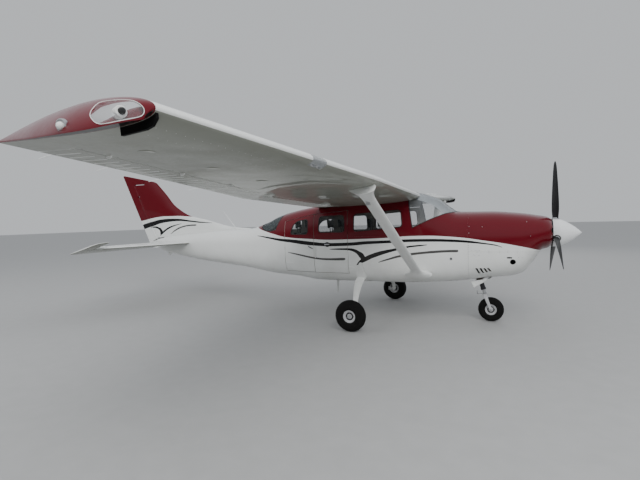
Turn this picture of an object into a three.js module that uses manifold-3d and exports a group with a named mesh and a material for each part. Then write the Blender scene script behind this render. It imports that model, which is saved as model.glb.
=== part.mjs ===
// Single-engine utility aircraft: high strut-braced wing, fixed tricycle gear, six seats.
// Millimetres. +X runs forward to the nose, +Y to the left wing, +Z up, and Z = 0 is the ground.
// "Station" is the distance behind the firewall's front face, negative ahead of it.
import * as THREE from "three";
import { mergeVertices } from "three/addons/utils/BufferGeometryUtils.js";
import Module from "manifold-3d";

const wasm = await Module();
wasm.setup();

// Driving dimensions.
const firewallX = 2880; // puts the origin under the middle of the whole length
const seam = 0.3; // gap between pieces that touch
const cabinWall = 30;
const cowlWall = 10;
const tailWall = 8;
const surfaceWall = 7; // skin of the hollow tail surfaces
const doorGap = 6;
const glassGap = 0.4;
const glassThickness = 8;
const cabinFloorHeight = 700;
const floorUnder = 686;
const floorBackStation = 3100; // behind it the belly opens into the cabin
const cabinBackStation = 3650;
const beltHeight = 1290; // where the lower and upper cabin panels meet
const tailEndStation = 6190;
const wingSpanHalf = 5486;
const mainWheelStation = 1479;
const mainWheelHalfTrack = 1232;
const noseWheelStation = -280;

const atStation = (station) => firewallX - station;

// Fuselage sections: station, bottom and top height, height of the widest line, half width,
// and the roundness powers above and below that line (2 is an ellipse, more is squarer).
const sectionTable = [
  [-1045, 1130, 1503, 1300, 345, 2.5, 2.3],
  [-1000, 1098, 1530, 1290, 405, 2.6, 2.4],
  [-930, 1078, 1547, 1275, 445, 2.7, 2.4],
  [-860, 955, 1560, 1250, 462, 2.7, 2.4],
  [-780, 850, 1575, 1220, 474, 2.7, 2.5],
  [-700, 757, 1587, 1190, 484, 2.7, 2.7],
  [-580, 712, 1601, 1170, 497, 2.7, 2.9],
  [-312, 677, 1624, 1150, 520, 2.7, 3.2],
  [0, 636, 1629, 1150, 545, 2.7, 3.5],
  [160, 614, 1634, 1160, 557, 2.7, 3.6],
  [300, 602, 1718, 1165, 566, 2.7, 3.7],
  [450, 592, 1838, 1170, 575, 2.9, 3.8],
  [600, 580, 1903, 1180, 582, 3.2, 3.9],
  [760, 570, 1945, 1190, 588, 3.7, 4],
  [1000, 562, 1984, 1200, 592, 4, 4],
  [1250, 559, 1984, 1200, 594, 4, 4],
  [1500, 556, 1958, 1200, 594, 4, 4],
  [2000, 550, 1865, 1195, 588, 4, 4],
  [2345, 549, 1800, 1180, 572, 4, 4],
  [2750, 598, 1737, 1150, 540, 3.7, 3.8],
  [3143, 617, 1646, 1120, 490, 3.3, 3.5],
  [3350, 635, 1560, 1105, 455, 3.1, 3.3],
  [3650, 676, 1462, 1095, 405, 2.9, 3.1],
  [3884, 709, 1420, 1095, 372, 2.8, 3],
  [4237, 741, 1408, 1100, 322, 2.6, 2.8],
  [4877, 800, 1375, 1115, 250, 2.5, 2.7],
  [5405, 868, 1335, 1130, 190, 2.4, 2.6],
  [6021, 985, 1285, 1155, 112, 2.3, 2.4],
  [6190, 1035, 1262, 1165, 84, 2.2, 2.2],
];
const sectionNames = ["station", "bottom", "top", "mid", "half", "upperPower", "lowerPower"];
const sections = sectionTable.map((row) =>
  Object.fromEntries(sectionNames.map((name, column) => [name, row[column]])),
);

const bodyCount = 24; // points round one fuselage section

function sectionAt(station) {
  let after = sections.findIndex((section) => section.station >= station);
  if (after < 0) after = sections.length - 1;
  const next = sections[Math.max(after, 1)];
  const last = sections[Math.max(after, 1) - 1];
  const part = (station - last.station) / (next.station - last.station);
  const mixed = { station };
  for (const name of sectionNames.slice(1)) mixed[name] = last[name] + part * (next[name] - last[name]);
  return mixed;
}

function fuselageRing(station, inset) {
  const section = sectionAt(station);
  const half = section.half - inset;
  const up = section.top - inset - section.mid;
  const down = section.mid - section.bottom - inset;
  const ring = [];
  for (let i = 0; i < bodyCount; i++) {
    const angle = (2 * Math.PI * i) / bodyCount;
    const across = Math.cos(angle);
    const rise = Math.sin(angle);
    const power = 2 / (rise >= 0 ? section.upperPower : section.lowerPower);
    const y = half * Math.sign(across) * Math.abs(across) ** power;
    const z = (rise >= 0 ? up : down) * Math.sign(rise) * Math.abs(rise) ** power;
    ring.push(new THREE.Vector3(atStation(station), y, section.mid + z));
  }
  return ring;
}

// A closed mesh turned into a solid, with its faces made to point out.
function solidFrom(positions, indices) {
  const made = new wasm.Manifold(
    new wasm.Mesh({
      numProp: 3,
      vertProperties: new Float32Array(positions),
      triVerts: new Uint32Array(indices),
    }),
  );
  if (made.volume() > 0) return made;
  const turned = [];
  for (let i = 0; i < indices.length; i += 3) turned.push(indices[i], indices[i + 2], indices[i + 1]);
  return solidFrom(positions, turned);
}

function solidOf(geometry) {
  const bare = geometry.clone();
  bare.deleteAttribute("normal");
  bare.deleteAttribute("uv");
  const merged = mergeVertices(bare, 1e-3);
  return solidFrom(merged.attributes.position.array, merged.index.array);
}

// Rings of equal point counts joined side to side, each end closed by a fan, or the last one
// from side to side where it is folded thin. Each four-sided face is split along its shorter
// diagonal, so that a left and a right half mirror each other.
function loft(rings, folded = false) {
  const count = rings[0].length;
  const points = rings.flat();
  const positions = points.flatMap((point) => [point.x, point.y, point.z]);
  const indices = [];
  for (let r = 0; r + 1 < rings.length; r++)
    for (let i = 0; i < count; i++) {
      const a = r * count + i;
      const b = r * count + ((i + 1) % count);
      const [c, d] = [a + count, b + count];
      const across = points[b].distanceTo(points[c]) - points[a].distanceTo(points[d]);
      if (across < 1e-4) indices.push(a, b, c, b, d, c);
      else indices.push(a, b, d, a, d, c);
    }
  const last = (rings.length - 1) * count;
  for (let i = 1; i + 1 < count; i++) {
    indices.push(0, i + 1, i);
    if (!folded) indices.push(last, last + i, last + i + 1);
  }
  for (let i = last, j = last + count - 1; folded && i + 1 < j; i++, j--) {
    indices.push(i, i + 1, j);
    if (i + 2 < j) indices.push(i + 1, j - 1, j);
  }
  return solidFrom(positions, indices);
}

// The fuselage's outer form less an inset, between two stations. Its rings stay on the table's
// own stations, so that neighbouring pieces share their faces.
function fuselage(from, to, inset) {
  const stations = sections.map((section) => section.station);
  const first = stations.findLastIndex((station) => station <= from + 0.5);
  const last = stations.findIndex((station) => station >= to - 0.5);
  const used = stations.slice(Math.max(first, 0), last < 0 ? stations.length : last + 1);
  if (from < used[0]) used.unshift(from);
  if (to > used[used.length - 1]) used.push(to);
  const trim = block(atStation(to), atStation(from), -1000, 1000, 0, 2500);
  return loft(used.map((station) => fuselageRing(station, inset))).intersect(trim);
}

function block(x0, x1, y0, y1, z0, z1) {
  const box = new THREE.BoxGeometry(Math.abs(x1 - x0), Math.abs(y1 - y0), Math.abs(z1 - z0));
  return solidOf(box.translate((x0 + x1) / 2, (y0 + y1) / 2, (z0 + z1) / 2));
}

// A cylinder or cone between two points.
function rod(from, to, radius, endRadius = radius, sides = 12) {
  const start = new THREE.Vector3(...from);
  const end = new THREE.Vector3(...to);
  const along = end.clone().sub(start);
  const shape = new THREE.CylinderGeometry(endRadius, radius, along.length(), sides);
  const turn = new THREE.Quaternion().setFromUnitVectors(new THREE.Vector3(0, 1, 0), along.normalize());
  return solidOf(shape.applyQuaternion(turn).translate(...start.add(end).multiplyScalar(0.5).toArray()));
}

// A side outline, as station and height pairs, extruded across from y0 to y1.
function sidePrism(outline, y0, y1) {
  const shape = new THREE.Shape(outline.map(([station, z]) => new THREE.Vector2(atStation(station), z)));
  const made = new THREE.ExtrudeGeometry(shape, { depth: Math.abs(y1 - y0), bevelEnabled: false });
  return solidOf(made.rotateX(Math.PI / 2).translate(0, Math.max(y0, y1), 0));
}

// A plan outline, as station and y pairs, extruded up from z0 to z1.
function planPrism(outline, z0, z1) {
  const shape = new THREE.Shape(outline.map(([station, y]) => new THREE.Vector2(atStation(station), y)));
  const made = new THREE.ExtrudeGeometry(shape, { depth: z1 - z0, bevelEnabled: false });
  return solidOf(made.translate(0, 0, z0));
}

// Moves each corner of an outline inwards, by the bisector of its two edges, and rounds it.
function insetOutline(outline, gap, radius = 0) {
  const points = outline.map(([a, b]) => new THREE.Vector2(a, b));
  const area = THREE.ShapeUtils.area(points);
  const moved = points.map((point, i) => {
    const before = points[(i + points.length - 1) % points.length];
    const after = points[(i + 1) % points.length];
    const one = point.clone().sub(before).normalize();
    const two = after.clone().sub(point).normalize();
    const inward = Math.sign(area);
    const normalOne = new THREE.Vector2(-one.y, one.x).multiplyScalar(inward);
    const normalTwo = new THREE.Vector2(-two.y, two.x).multiplyScalar(inward);
    const bisector = normalOne.clone().add(normalTwo);
    return point.clone().add(bisector.multiplyScalar(gap / (1 + normalOne.dot(normalTwo))));
  });
  if (!radius) return moved.map((point) => [point.x, point.y]);
  const cornerSteps = 4;
  return moved.flatMap((point, i) => {
    const before = moved[(i + moved.length - 1) % moved.length];
    const after = moved[(i + 1) % moved.length];
    const back = before.clone().sub(point);
    const ahead = after.clone().sub(point);
    const reach = Math.min(radius - gap, back.length() * 0.45, ahead.length() * 0.45);
    const start = point.clone().add(back.setLength(reach));
    const end = point.clone().add(ahead.setLength(reach));
    const curve = new THREE.QuadraticBezierCurve(start, point, end);
    return curve.getPoints(cornerSteps).map((p) => [p.x, p.y]);
  });
}

function latheAlongY(profile, segments, x, y, z) {
  const points = profile.map(([radius, across]) => new THREE.Vector2(radius, across));
  return solidOf(new THREE.LatheGeometry(points, segments).translate(x, y, z));
}

const mirrored = (solid) => solid.mirror([0, 1, 0]);
const forSide = (solid, side) => (side > 0 ? solid : mirrored(solid));
const joined = (solids) => solids.reduce((all, one) => all.add(one));

// Outlines in side view, as station and height pairs, anticlockwise or clockwise alike.
const windshieldOutline = [
  [120, 1640],
  [300, 1604],
  [500, 1526],
  [650, 1455],
  [752, 1405],
  [790, 1640],
  [815, 1790],
  [800, 1925],
  [790, 2050],
  [100, 2050],
];
const frontWindowOutline = [
  [887, 1424],
  [1651, 1361],
  [1646, 1636],
  [912, 1686],
];
const middleWindowOutline = [
  [1790, 1356],
  [2252, 1352],
  [2240, 1612],
  [1800, 1628],
];
const rearSideWindowOutline = [
  [2438, 1326],
  [2785, 1320],
  [2730, 1482],
  [2640, 1550],
  [2440, 1580],
];
const rearWindowOutline = [
  [2990, 1640],
  [3085, 1400],
  [3210, 1376],
  [3340, 1388],
  [3440, 1440],
  [3560, 1700],
  [2975, 1800],
];
const windowCorner = 60;
const pilotDoorOutline = [
  [850, 715],
  [1705, 715],
  [1705, 1715],
  [850, 1735],
];
const cargoFrontDoorOutline = [
  [1745, 715],
  [2330, 715],
  [2330, 1650],
  [1745, 1695],
];
const cargoRearDoorOutline = [
  [2330, 715],
  [2890, 715],
  [2890, 1545],
  [2330, 1650],
];

// The cabin's skin as a solid band, from its outer face to a depth under it.
const cabinBand = (outer, inner, from = 0, to = cabinBackStation) =>
  fuselage(from, to, outer).subtract(fuselage(from - 1, to + 1, inner));

const sideReach = 900; // well past the skin on either side

const windowCut = (outline, side) =>
  sidePrism(insetOutline(outline, 0, windowCorner), side * 200, side * sideReach);

function glassPane(outline, side, from, to) {
  const rounded = insetOutline(outline, glassGap, side === 0 ? 0 : windowCorner);
  const reach = side === 0 ? [-sideReach, sideReach] : [side * 200, side * sideReach];
  const depth = 6; // the pane lies this far under the skin
  return cabinBand(depth, depth + glassThickness, from, to).intersect(sidePrism(rounded, ...reach));
}

function doorPanel(outline, windowOutline, side) {
  const edge = insetOutline(outline, doorGap / 2, 0);
  const panel = cabinBand(0, cabinWall, outline[0][0] - 50, outline[1][0] + 50).intersect(
    sidePrism(edge, side * 200, side * sideReach),
  );
  return panel.subtract(windowCut(windowOutline, side));
}

function doorHole(outline, side) {
  return sidePrism(insetOutline(outline, -doorGap / 2, 0), side * 200, side * sideReach);
}

// A hinge line of knuckles: the moving ones, the fixed ones beside them, and room for each.
function knuckles(point, direction, radius, places, length) {
  const axis = new THREE.Vector3(...direction).normalize();
  const on = (distance) => new THREE.Vector3(...point).addScaledVector(axis, distance).toArray();
  const pieces = { moving: [], fixed: [], movingRoom: [], fixedRoom: [] };
  for (const place of places) {
    const half = length / 2;
    pieces.moving.push(rod(on(place - half), on(place + half), radius, radius, 8));
    const room = radius + 3;
    pieces.movingRoom.push(rod(on(place - half - seam), on(place + half + seam), room, room, 8));
    for (const sign of [-1, 1]) {
      const near = place + sign * (half + seam);
      const far = near + sign * length * 0.6;
      pieces.fixed.push(rod(on(near), on(far), radius, radius, 8));
      pieces.fixedRoom.push(rod(on(near - sign * 0.2), on(far + sign * 3), room, room, 8));
    }
  }
  return Object.fromEntries(Object.entries(pieces).map(([name, list]) => [name, joined(list)]));
}

// Doors: hinge station and side, and knuckle heights.
const doorHinges = {
  pilot: { station: 850, side: 1, heights: [1000, 1400] },
  cargoFront: { station: 1745, side: -1, heights: [1000, 1400] },
  cargoRear: { station: 2890, side: -1, heights: [1010, 1190] },
};

function doorKnuckles(hinge) {
  const y = hinge.side * (sectionAt(hinge.station).half - 2);
  return knuckles([atStation(hinge.station), y, 0], [0, 0, 1], 9, hinge.heights, 60);
}

// Cabin.
function cabinSkin() {
  const floor = block(atStation(floorBackStation), atStation(20), -700, 700, floorUnder, cabinFloorHeight);
  const hollow = fuselage(-1, cabinBackStation + 1, cabinWall).subtract(floor);
  let skin = fuselage(0, cabinBackStation, 0).subtract(hollow);
  skin = skin.subtract(sidePrism(windshieldOutline, -sideReach, sideReach));
  skin = skin.subtract(sidePrism(rearWindowOutline, -sideReach, sideReach));
  skin = skin.subtract(windowCut(frontWindowOutline, -1));
  skin = skin.subtract(windowCut(middleWindowOutline, 1));
  skin = skin.subtract(windowCut(rearSideWindowOutline, 1));
  const doors = [
    [pilotDoorOutline, 1, doorHinges.pilot],
    [cargoFrontDoorOutline, -1, doorHinges.cargoFront],
    [cargoRearDoorOutline, -1, doorHinges.cargoRear],
  ];
  for (const [outline, side, hinge] of doors) {
    const set = doorKnuckles(hinge);
    skin = skin.subtract(doorHole(outline, side)).subtract(set.movingRoom).add(set.fixed);
  }
  return skin;
}

function buildCabin() {
  const skin = cabinSkin();
  const underBelt = block(-1000, 3000, -sideReach, sideReach, 0, beltHeight - seam);
  const overBelt = block(-1000, 3000, -sideReach, sideReach, beltHeight, 2200);
  return { lower: skin.intersect(underBelt), upper: skin.intersect(overBelt) };
}

function buildDoor(outline, windowOutline, side, hinge) {
  const set = doorKnuckles(hinge);
  return doorPanel(outline, windowOutline, side).subtract(set.fixedRoom).add(set.moving);
}

// Cowl.
const cowlFrontStation = -1045;
const cowlBackStation = -seam;
const cowlSplitHeight = 1072;
const propHeight = 1306;
const shaftRadius = 62;
const exhaustRadius = 28;
const exhaustHoleRadius = 37;
const noseLegRoom = [[-240, -72], [10, -72], [10, 72], [-240, 72]]; // plan of the nose leg's cut-out

function intakeHole(side) {
  const hole = new THREE.Shape();
  hole.absellipse(0, 0, 105, 62, 0, 2 * Math.PI, false, 0);
  const made = new THREE.ExtrudeGeometry(hole, { depth: 300, bevelEnabled: false, curveSegments: 12 });
  const turned = made.rotateY(Math.PI / 2).rotateX(Math.PI / 2);
  return solidOf(turned.translate(atStation(-800), side * 262, propHeight + 40));
}

const cowlFlapFront = -296;
const cowlFlapBack = -24;
const cowlFlapInner = 148;
const cowlFlapOuter = 318;

function buildCowl() {
  const outer = fuselage(cowlFrontStation, cowlBackStation, 0);
  const inner = fuselage(cowlFrontStation + cowlWall, 10, cowlWall);
  let shell = outer.subtract(inner);
  const shaftHole = [atStation(-900), atStation(-1200)].map((x) => [x, 0, propHeight]);
  shell = shell.subtract(rod(...shaftHole, shaftRadius + 16));
  shell = shell.subtract(intakeHole(1)).subtract(intakeHole(-1));
  for (const side of [-1, 1]) {
    const outline = [
      [cowlFlapFront - 12, side * cowlFlapInner],
      [10, side * cowlFlapInner],
      [10, side * cowlFlapOuter],
      [cowlFlapFront - 12, side * cowlFlapOuter],
    ];
    shell = shell.subtract(planPrism(outline, 500, 800));
  }
  shell = shell.subtract(planPrism(noseLegRoom, 500, 800)).subtract(exhaustTube(exhaustHoleRadius));
  const above = block(2000, 4500, -800, 800, cowlSplitHeight, 2000);
  const below = block(2000, 4500, -800, 800, 0, cowlSplitHeight - seam);
  return { upper: shell.intersect(above), lower: shell.intersect(below) };
}

const buildFirewall = () => fuselage(2, 14, cabinWall + seam);
const aheadOfFirewall = () => block(atStation(2 - seam), 4500, -1000, 1000, 0, 2500);

const engineFront = -880;
const engineSumpHeight = 880;

function buildEngine() {
  const crankcase = block(atStation(-250), atStation(engineFront), -160, 160, 1080, 1440);
  const cylinders = block(atStation(-300), atStation(-840), -400, 400, 1170, 1400);
  const sump = block(atStation(-250), atStation(-740), -260, 260, engineSumpHeight, 1120);
  const mounts = [-1, 1].flatMap((side) =>
    [1180, 1400].map((height) =>
      rod([atStation(-320), side * 120, height], [atStation(20), side * 190, height], 16, 16, 10),
    ),
  );
  return joined([crankcase, cylinders, sump, ...mounts]).intersect(aheadOfFirewall());
}

// Propeller: spinner, three blades, and the shaft that reaches back to the engine.
const spinnerBase = -1066;
const spinnerTip = -1425;
const spinnerRadius = 190;
const propPlane = -1112;
const propRadius = 1003;
const firstBladeLean = THREE.MathUtils.degToRad(-7.3);
const bladeRootRadius = 120;

function bladeTurn(index) {
  return new THREE.Quaternion().setFromAxisAngle(
    new THREE.Vector3(1, 0, 0),
    firstBladeLean + (index * 2 * Math.PI) / 3,
  );
}

// Blade sections: distance out, chord, thickness, pitch in degrees.
const bladeTable = [
  [bladeRootRadius, 74, 74, 0],
  [185, 76, 66, 50],
  [235, 100, 40, 43],
  [320, 138, 27, 35],
  [480, 158, 19, 28],
  [700, 148, 13, 22],
  [880, 122, 9, 18],
  [965, 86, 7, 17],
  [propRadius, 34, 5, 17],
];

function buildBlade(index) {
  const around = 12;
  const rings = bladeTable.map(([out, chord, thickness, pitch]) => {
    const turn = THREE.MathUtils.degToRad(pitch);
    const ring = [];
    for (let i = 0; i < around; i++) {
      const angle = (2 * Math.PI * i) / around;
      const across = (chord / 2) * Math.cos(angle);
      const deep = (thickness / 2) * Math.sin(angle);
      const x = deep * Math.cos(turn) - across * Math.sin(turn);
      const y = deep * Math.sin(turn) + across * Math.cos(turn);
      ring.push(new THREE.Vector3(x, y, out));
    }
    return ring;
  });
  const turn = bladeTurn(index);
  const middle = new THREE.Vector3(atStation(propPlane), 0, propHeight);
  for (const ring of rings) for (const point of ring) point.applyQuaternion(turn).add(middle);
  return loft(rings);
}

function buildSpinner() {
  const profile = [[0, 0]];
  const length = spinnerBase - spinnerTip;
  profile.push([spinnerRadius, 0], [spinnerRadius, 70]);
  const steps = 7;
  for (let i = 1; i <= steps; i++) {
    const along = 70 + ((length - 70) * i) / steps;
    const part = (along - 70) / (length - 70);
    profile.push([spinnerRadius * Math.max(1 - part ** 1.45, 0) ** 0.92, along]);
  }
  profile[profile.length - 1][0] = 0;
  const points = profile.map(([radius, along]) => new THREE.Vector2(radius, along));
  const cone = new THREE.LatheGeometry(points, 24).rotateZ(-Math.PI / 2);
  let made = solidOf(cone.translate(atStation(spinnerBase), 0, propHeight));
  const shaft = rod(
    [atStation(spinnerBase) + 10, 0, propHeight],
    [atStation(engineFront) + seam, 0, propHeight],
    shaftRadius,
    shaftRadius,
    16,
  );
  made = made.add(shaft);
  const middle = new THREE.Vector3(atStation(propPlane), 0, propHeight);
  for (let index = 0; index < 3; index++) {
    const out = new THREE.Vector3(0, 0, 1).applyQuaternion(bladeTurn(index));
    const from = middle.clone().addScaledVector(out, bladeRootRadius - seam);
    const to = middle.clone().addScaledVector(out, 260);
    made = made.subtract(rod(from.toArray(), to.toArray(), 46, 46, 12));
  }
  return made;
}

// Wing. Sections run from the root plane out: y, leading edge station and height, chord,
// and the nose-up angle in degrees, ground attitude included.
const wingTable = [
  [380, 667, 1879, 1626, 4.5],
  [2540, 667, 1952, 1626, 4.3],
  [5150, 800, 2042, 1133, 1.9],
  [5283, 807, 2046.6, 1108, 1.78],
];
const wingThickness = 0.12;
const wingCamber = 0.02;
const wingHighPoint = 0.4;
const trailingEdge = 5; // thickness there
const wingPoints = 9; // along each surface

const foilSteps = Array.from({ length: wingPoints + 1 }, (_, i) => {
  const part = i / wingPoints;
  return 0.5 * (1 - Math.cos(Math.PI * part)); // closer together at the nose
});

// Four-digit section: the height of the upper or lower face at a chord fraction.
function foilHeight(fraction, thickness, camber, upper) {
  const root = Math.sqrt(fraction);
  const series = 0.2969 * root - 0.126 * fraction - 0.3516 * fraction ** 2;
  const half = 5 * thickness * (series + 0.2843 * fraction ** 3 - 0.1036 * fraction ** 4);
  const rise =
    fraction < wingHighPoint
      ? (camber / wingHighPoint ** 2) * (2 * wingHighPoint * fraction - fraction ** 2)
      : (camber / (1 - wingHighPoint) ** 2) *
        (1 - 2 * wingHighPoint + 2 * wingHighPoint * fraction - fraction ** 2);
  return rise + (upper ? half : -half);
}

function foilRing(y, noseStation, noseHeight, chord, noseUp, ...form) {
  const [thickness = wingThickness, camber = wingCamber] = form;
  const turn = THREE.MathUtils.degToRad(noseUp);
  const place = (fraction, height) => {
    const along = fraction * chord;
    const up = height * chord;
    const x = atStation(noseStation) - along * Math.cos(turn) + up * Math.sin(turn);
    return new THREE.Vector3(x, y, noseHeight - along * Math.sin(turn) + up * Math.cos(turn));
  };
  const edge = trailingEdge / chord / 2;
  const ring = [];
  for (let i = wingPoints; i >= 0; i--) {
    const fraction = foilSteps[i];
    ring.push(place(fraction, foilHeight(fraction, thickness, camber, true) + edge * fraction));
  }
  for (let i = 1; i <= wingPoints; i++) {
    const fraction = foilSteps[i];
    ring.push(place(fraction, foilHeight(fraction, thickness, camber, false) - edge * fraction));
  }
  return ring;
}

function wingSectionAt(y) {
  const after = Math.max(1, wingTable.findIndex((row) => row[0] >= y));
  const [near, far] = [wingTable[after - 1], wingTable[after]];
  const part = (y - near[0]) / (far[0] - near[0]);
  return near.map((value, i) => value + part * (far[i] - value));
}

// Moving surfaces on the wing: y range, and hinge line as a share of the chord.
const flapSpan = [640, 3260];
const aileronSpan = [3300, 5060];
const surfaceChord = 0.74;
const flapHingeShare = surfaceChord - 0.006;
const spanGap = 8;
const flapHingeDrop = 26; // under the wing's lower face
const noseGap = 8;
const hingePlaces = [0.2, 0.8]; // shares of a surface's span
const wingHeights = [1500, 2300]; // a range that holds the whole wing

function linePoint(y, share, lift = 0) {
  const [, noseStation, noseHeight, chord, noseUp] = wingSectionAt(y);
  const turn = THREE.MathUtils.degToRad(noseUp);
  const along = share * chord;
  return [
    atStation(noseStation) - along * Math.cos(turn) + lift * Math.sin(turn),
    y,
    noseHeight - along * Math.sin(turn) + lift * Math.cos(turn),
  ];
}

// The middle of the section's thickness at a chord share.
function midLift(y, share) {
  const chord = wingSectionAt(y)[3];
  const up = foilHeight(share, wingThickness, wingCamber, true);
  const low = foilHeight(share, wingThickness, wingCamber, false);
  return { middle: (chord * (up + low)) / 2, half: (chord * (up - low)) / 2 };
}

// A plan outline from a chord share back to well past the trailing edge, as a solid.
function behindShare([y0, y1], share) {
  const front = [y0, y1].map((y) => firewallX - linePoint(y, share)[0]);
  const back = front.map((station) => station + 900);
  return planPrism([[front[0], y0], [front[1], y1], [back[1], y1], [back[0], y0]], ...wingHeights);
}

function aileronHinge() {
  const ends = aileronSpan.map((y) => linePoint(y, surfaceChord, midLift(y, surfaceChord).middle));
  return { ends, radii: aileronSpan.map((y) => midLift(y, surfaceChord).half - 1) };
}

function flapHinge() {
  return flapSpan.map((y) => {
    const { middle, half } = midLift(y, surfaceChord);
    return linePoint(y, flapHingeShare, middle - half - flapHingeDrop);
  });
}

const between = (a, b, part) => a.map((value, i) => value + part * (b[i] - value));

// Hinge lugs along a line: fixed pins that reach back to a spindle in a notch of the moving nose.
function hingeLugs([start, end], parts, notchRadius, reach) {
  const along = new THREE.Vector3(...end).sub(new THREE.Vector3(...start)).normalize();
  const ahead = new THREE.Vector3(1, 0, 0).addScaledVector(along, -along.x).normalize();
  const spindle = 8;
  const notchHalf = 12;
  const pieces = { fixed: [], moving: [], notch: [] };
  for (const part of parts) {
    const middle = new THREE.Vector3(...between(start, end, part));
    const on = (out, side) =>
      middle.clone().addScaledVector(ahead, out).addScaledVector(along, side).toArray();
    pieces.fixed.push(rod(on(spindle + seam, 0), on(reach, 0), 6, 6, 6));
    pieces.moving.push(rod(on(0, -notchHalf - 4), on(0, notchHalf + 4), spindle, spindle, 8));
    pieces.notch.push(rod(on(0, -notchHalf), on(0, notchHalf), notchRadius, notchRadius, 8));
  }
  return Object.fromEntries(Object.entries(pieces).map(([name, list]) => [name, joined(list)]));
}

function flapHingeSet() {
  const [inner, outer] = flapHinge();
  const along = new THREE.Vector3(...outer).sub(new THREE.Vector3(...inner));
  const length = along.length();
  return knuckles(inner, along.toArray(), 9, hingePlaces.map((part) => part * length), 26);
}

// Arms that carry the flap's knuckles: fixed ones to the wing, moving ones to the flap.
// Their outlines are forward and up from the hinge line.
const fixedArmOutline = [[-6, -6], [6, -6], [120, 40], [16, 46]];
const movingArmOutline = [[5, -6], [-6, -7], [-130, 22], [-40, 44]];

function flapArms() {
  const [inner, outer] = flapHinge();
  const fixed = [];
  const moving = [];
  for (const part of hingePlaces) {
    const middle = between(inner, outer, part);
    const arm = (outline, y, half) =>
      loft([y - half, y + half].map((edge) =>
        outline.map(([x, z]) => new THREE.Vector3(middle[0] + x, edge, middle[2] + z)),
      ));
    for (const sign of [-1, 1]) fixed.push(arm(fixedArmOutline, middle[1] + sign * 21.5, 5));
    moving.push(arm(movingArmOutline, middle[1], 6));
  }
  return { fixed: joined(fixed), moving: joined(moving) };
}

function wholeWing() {
  return loft(wingTable.map((row) => foilRing(...row)));
}

function buildWing() {
  const whole = wholeWing();
  let fixed = whole.subtract(fuselage(0, cabinBackStation, -seam));
  const widened = ([start, end]) => [start - spanGap, end + spanGap];
  fixed = fixed.subtract(behindShare(widened(flapSpan), flapHingeShare));
  const hinge = aileronHinge();
  const cove = rod(
    between(hinge.ends[0], hinge.ends[1], -0.006),
    between(hinge.ends[0], hinge.ends[1], 1.006),
    hinge.radii[0] + noseGap,
    hinge.radii[1] + noseGap,
    12,
  );
  fixed = fixed.subtract(behindShare(widened(aileronSpan), surfaceChord)).subtract(cove);
  const lugs = hingeLugs(hinge.ends, hingePlaces, hinge.radii[0] + 4, hinge.radii[0] + 22);
  const arms = flapArms();
  const set = flapHingeSet();
  fixed = joined([fixed, lugs.fixed, arms.fixed, set.fixed]);

  const noseRod = rod(hinge.ends[0], hinge.ends[1], hinge.radii[0], hinge.radii[1], 12);
  const noseTrim = block(0, 3000, ...aileronSpan, ...wingHeights);
  const aileronSkin = whole.intersect(behindShare(aileronSpan, surfaceChord));
  const aileronBody = aileronSkin.add(noseRod).intersect(noseTrim);
  const aileron = aileronBody.subtract(lugs.notch).add(lugs.moving);

  const flapBody = whole.intersect(behindShare(flapSpan, surfaceChord));
  const flap = joined([flapBody, arms.moving, set.moving]);
  return { fixed, aileron, flap };
}

// Wing tip cap: the wing's last section swept out and down to a thin drooped edge.
// The edge's rows: share of the chord, station, y, height.
const tipTable = [
  [0, 820, 5335, 1993],
  [0.03, 835, 5395, 1976],
  [0.08, 880, 5450, 1956],
  [0.17, 985, 5480, 1942],
  [0.25, 1080, wingSpanHalf, 1940],
  [0.5, 1360, 5440, 1955],
  [0.7, 1600, 5375, 1979],
  [0.85, 1790, 5325, 1998],
  [1, 1935, 5292, 2012],
];
const tipEdgeHalf = 3;
const tipFullness = 1.35; // 1 sweeps the section along a quarter ellipse, more is flatter
const tipSteps = 6;

function tipEdgeAt(share) {
  const after = Math.max(1, tipTable.findIndex((row) => row[0] >= share));
  const [near, far] = [tipTable[after - 1], tipTable[after]];
  return between(near, far, (share - near[0]) / (far[0] - near[0]));
}

function buildWingTip() {
  const joint = foilRing(...wingTable[wingTable.length - 1]);
  const rings = Array.from({ length: tipSteps + 1 }, (_, step) => {
    const angle = (Math.PI / 2) * (step / tipSteps);
    const out = Math.sin(angle) ** tipFullness;
    const down = 1 - Math.max(Math.cos(angle), 0) ** tipFullness;
    return joint.map((point, i) => {
      const [, station, y, height] = tipEdgeAt(foilSteps[Math.abs(wingPoints - i)]);
      const edgeSide = Math.sign(wingPoints - i) * tipEdgeHalf;
      return new THREE.Vector3(
        point.x + (atStation(station) - point.x) * down,
        point.y + seam + (y - point.y - seam) * out,
        point.z + (height + edgeSide - point.z) * down,
      );
    });
  });
  return loft(rings, true);
}

// Strut: from the lower cabin side to the wing's lower face.
const strutFoot = { station: 672, y: 560, height: 735 };
const strutHead = { station: 838, y: 2545, height: 1870 };
const strutChord = 146;
const strutThickness = 50;
const tieDownHeight = 1705;

function strutRing(part, chord, thickness) {
  const foot = new THREE.Vector3(atStation(strutFoot.station), strutFoot.y, strutFoot.height);
  const head = new THREE.Vector3(atStation(strutHead.station), strutHead.y, strutHead.height);
  const middle = foot.clone().lerp(head, part);
  const along = head.clone().sub(foot).normalize();
  const chordway = new THREE.Vector3(1, 0, 0).addScaledVector(along, -along.x).normalize();
  const deep = along.clone().cross(chordway);
  const ring = [];
  const around = 16;
  for (let i = 0; i < around; i++) {
    const angle = (2 * Math.PI * i) / around;
    const across = (chord / 2) * Math.cos(angle);
    const out = (thickness / 2) * Math.sin(angle) * (1 - 0.25 * Math.cos(angle - Math.PI));
    ring.push(middle.clone().addScaledVector(chordway, across).addScaledVector(deep, out));
  }
  return ring;
}

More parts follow.
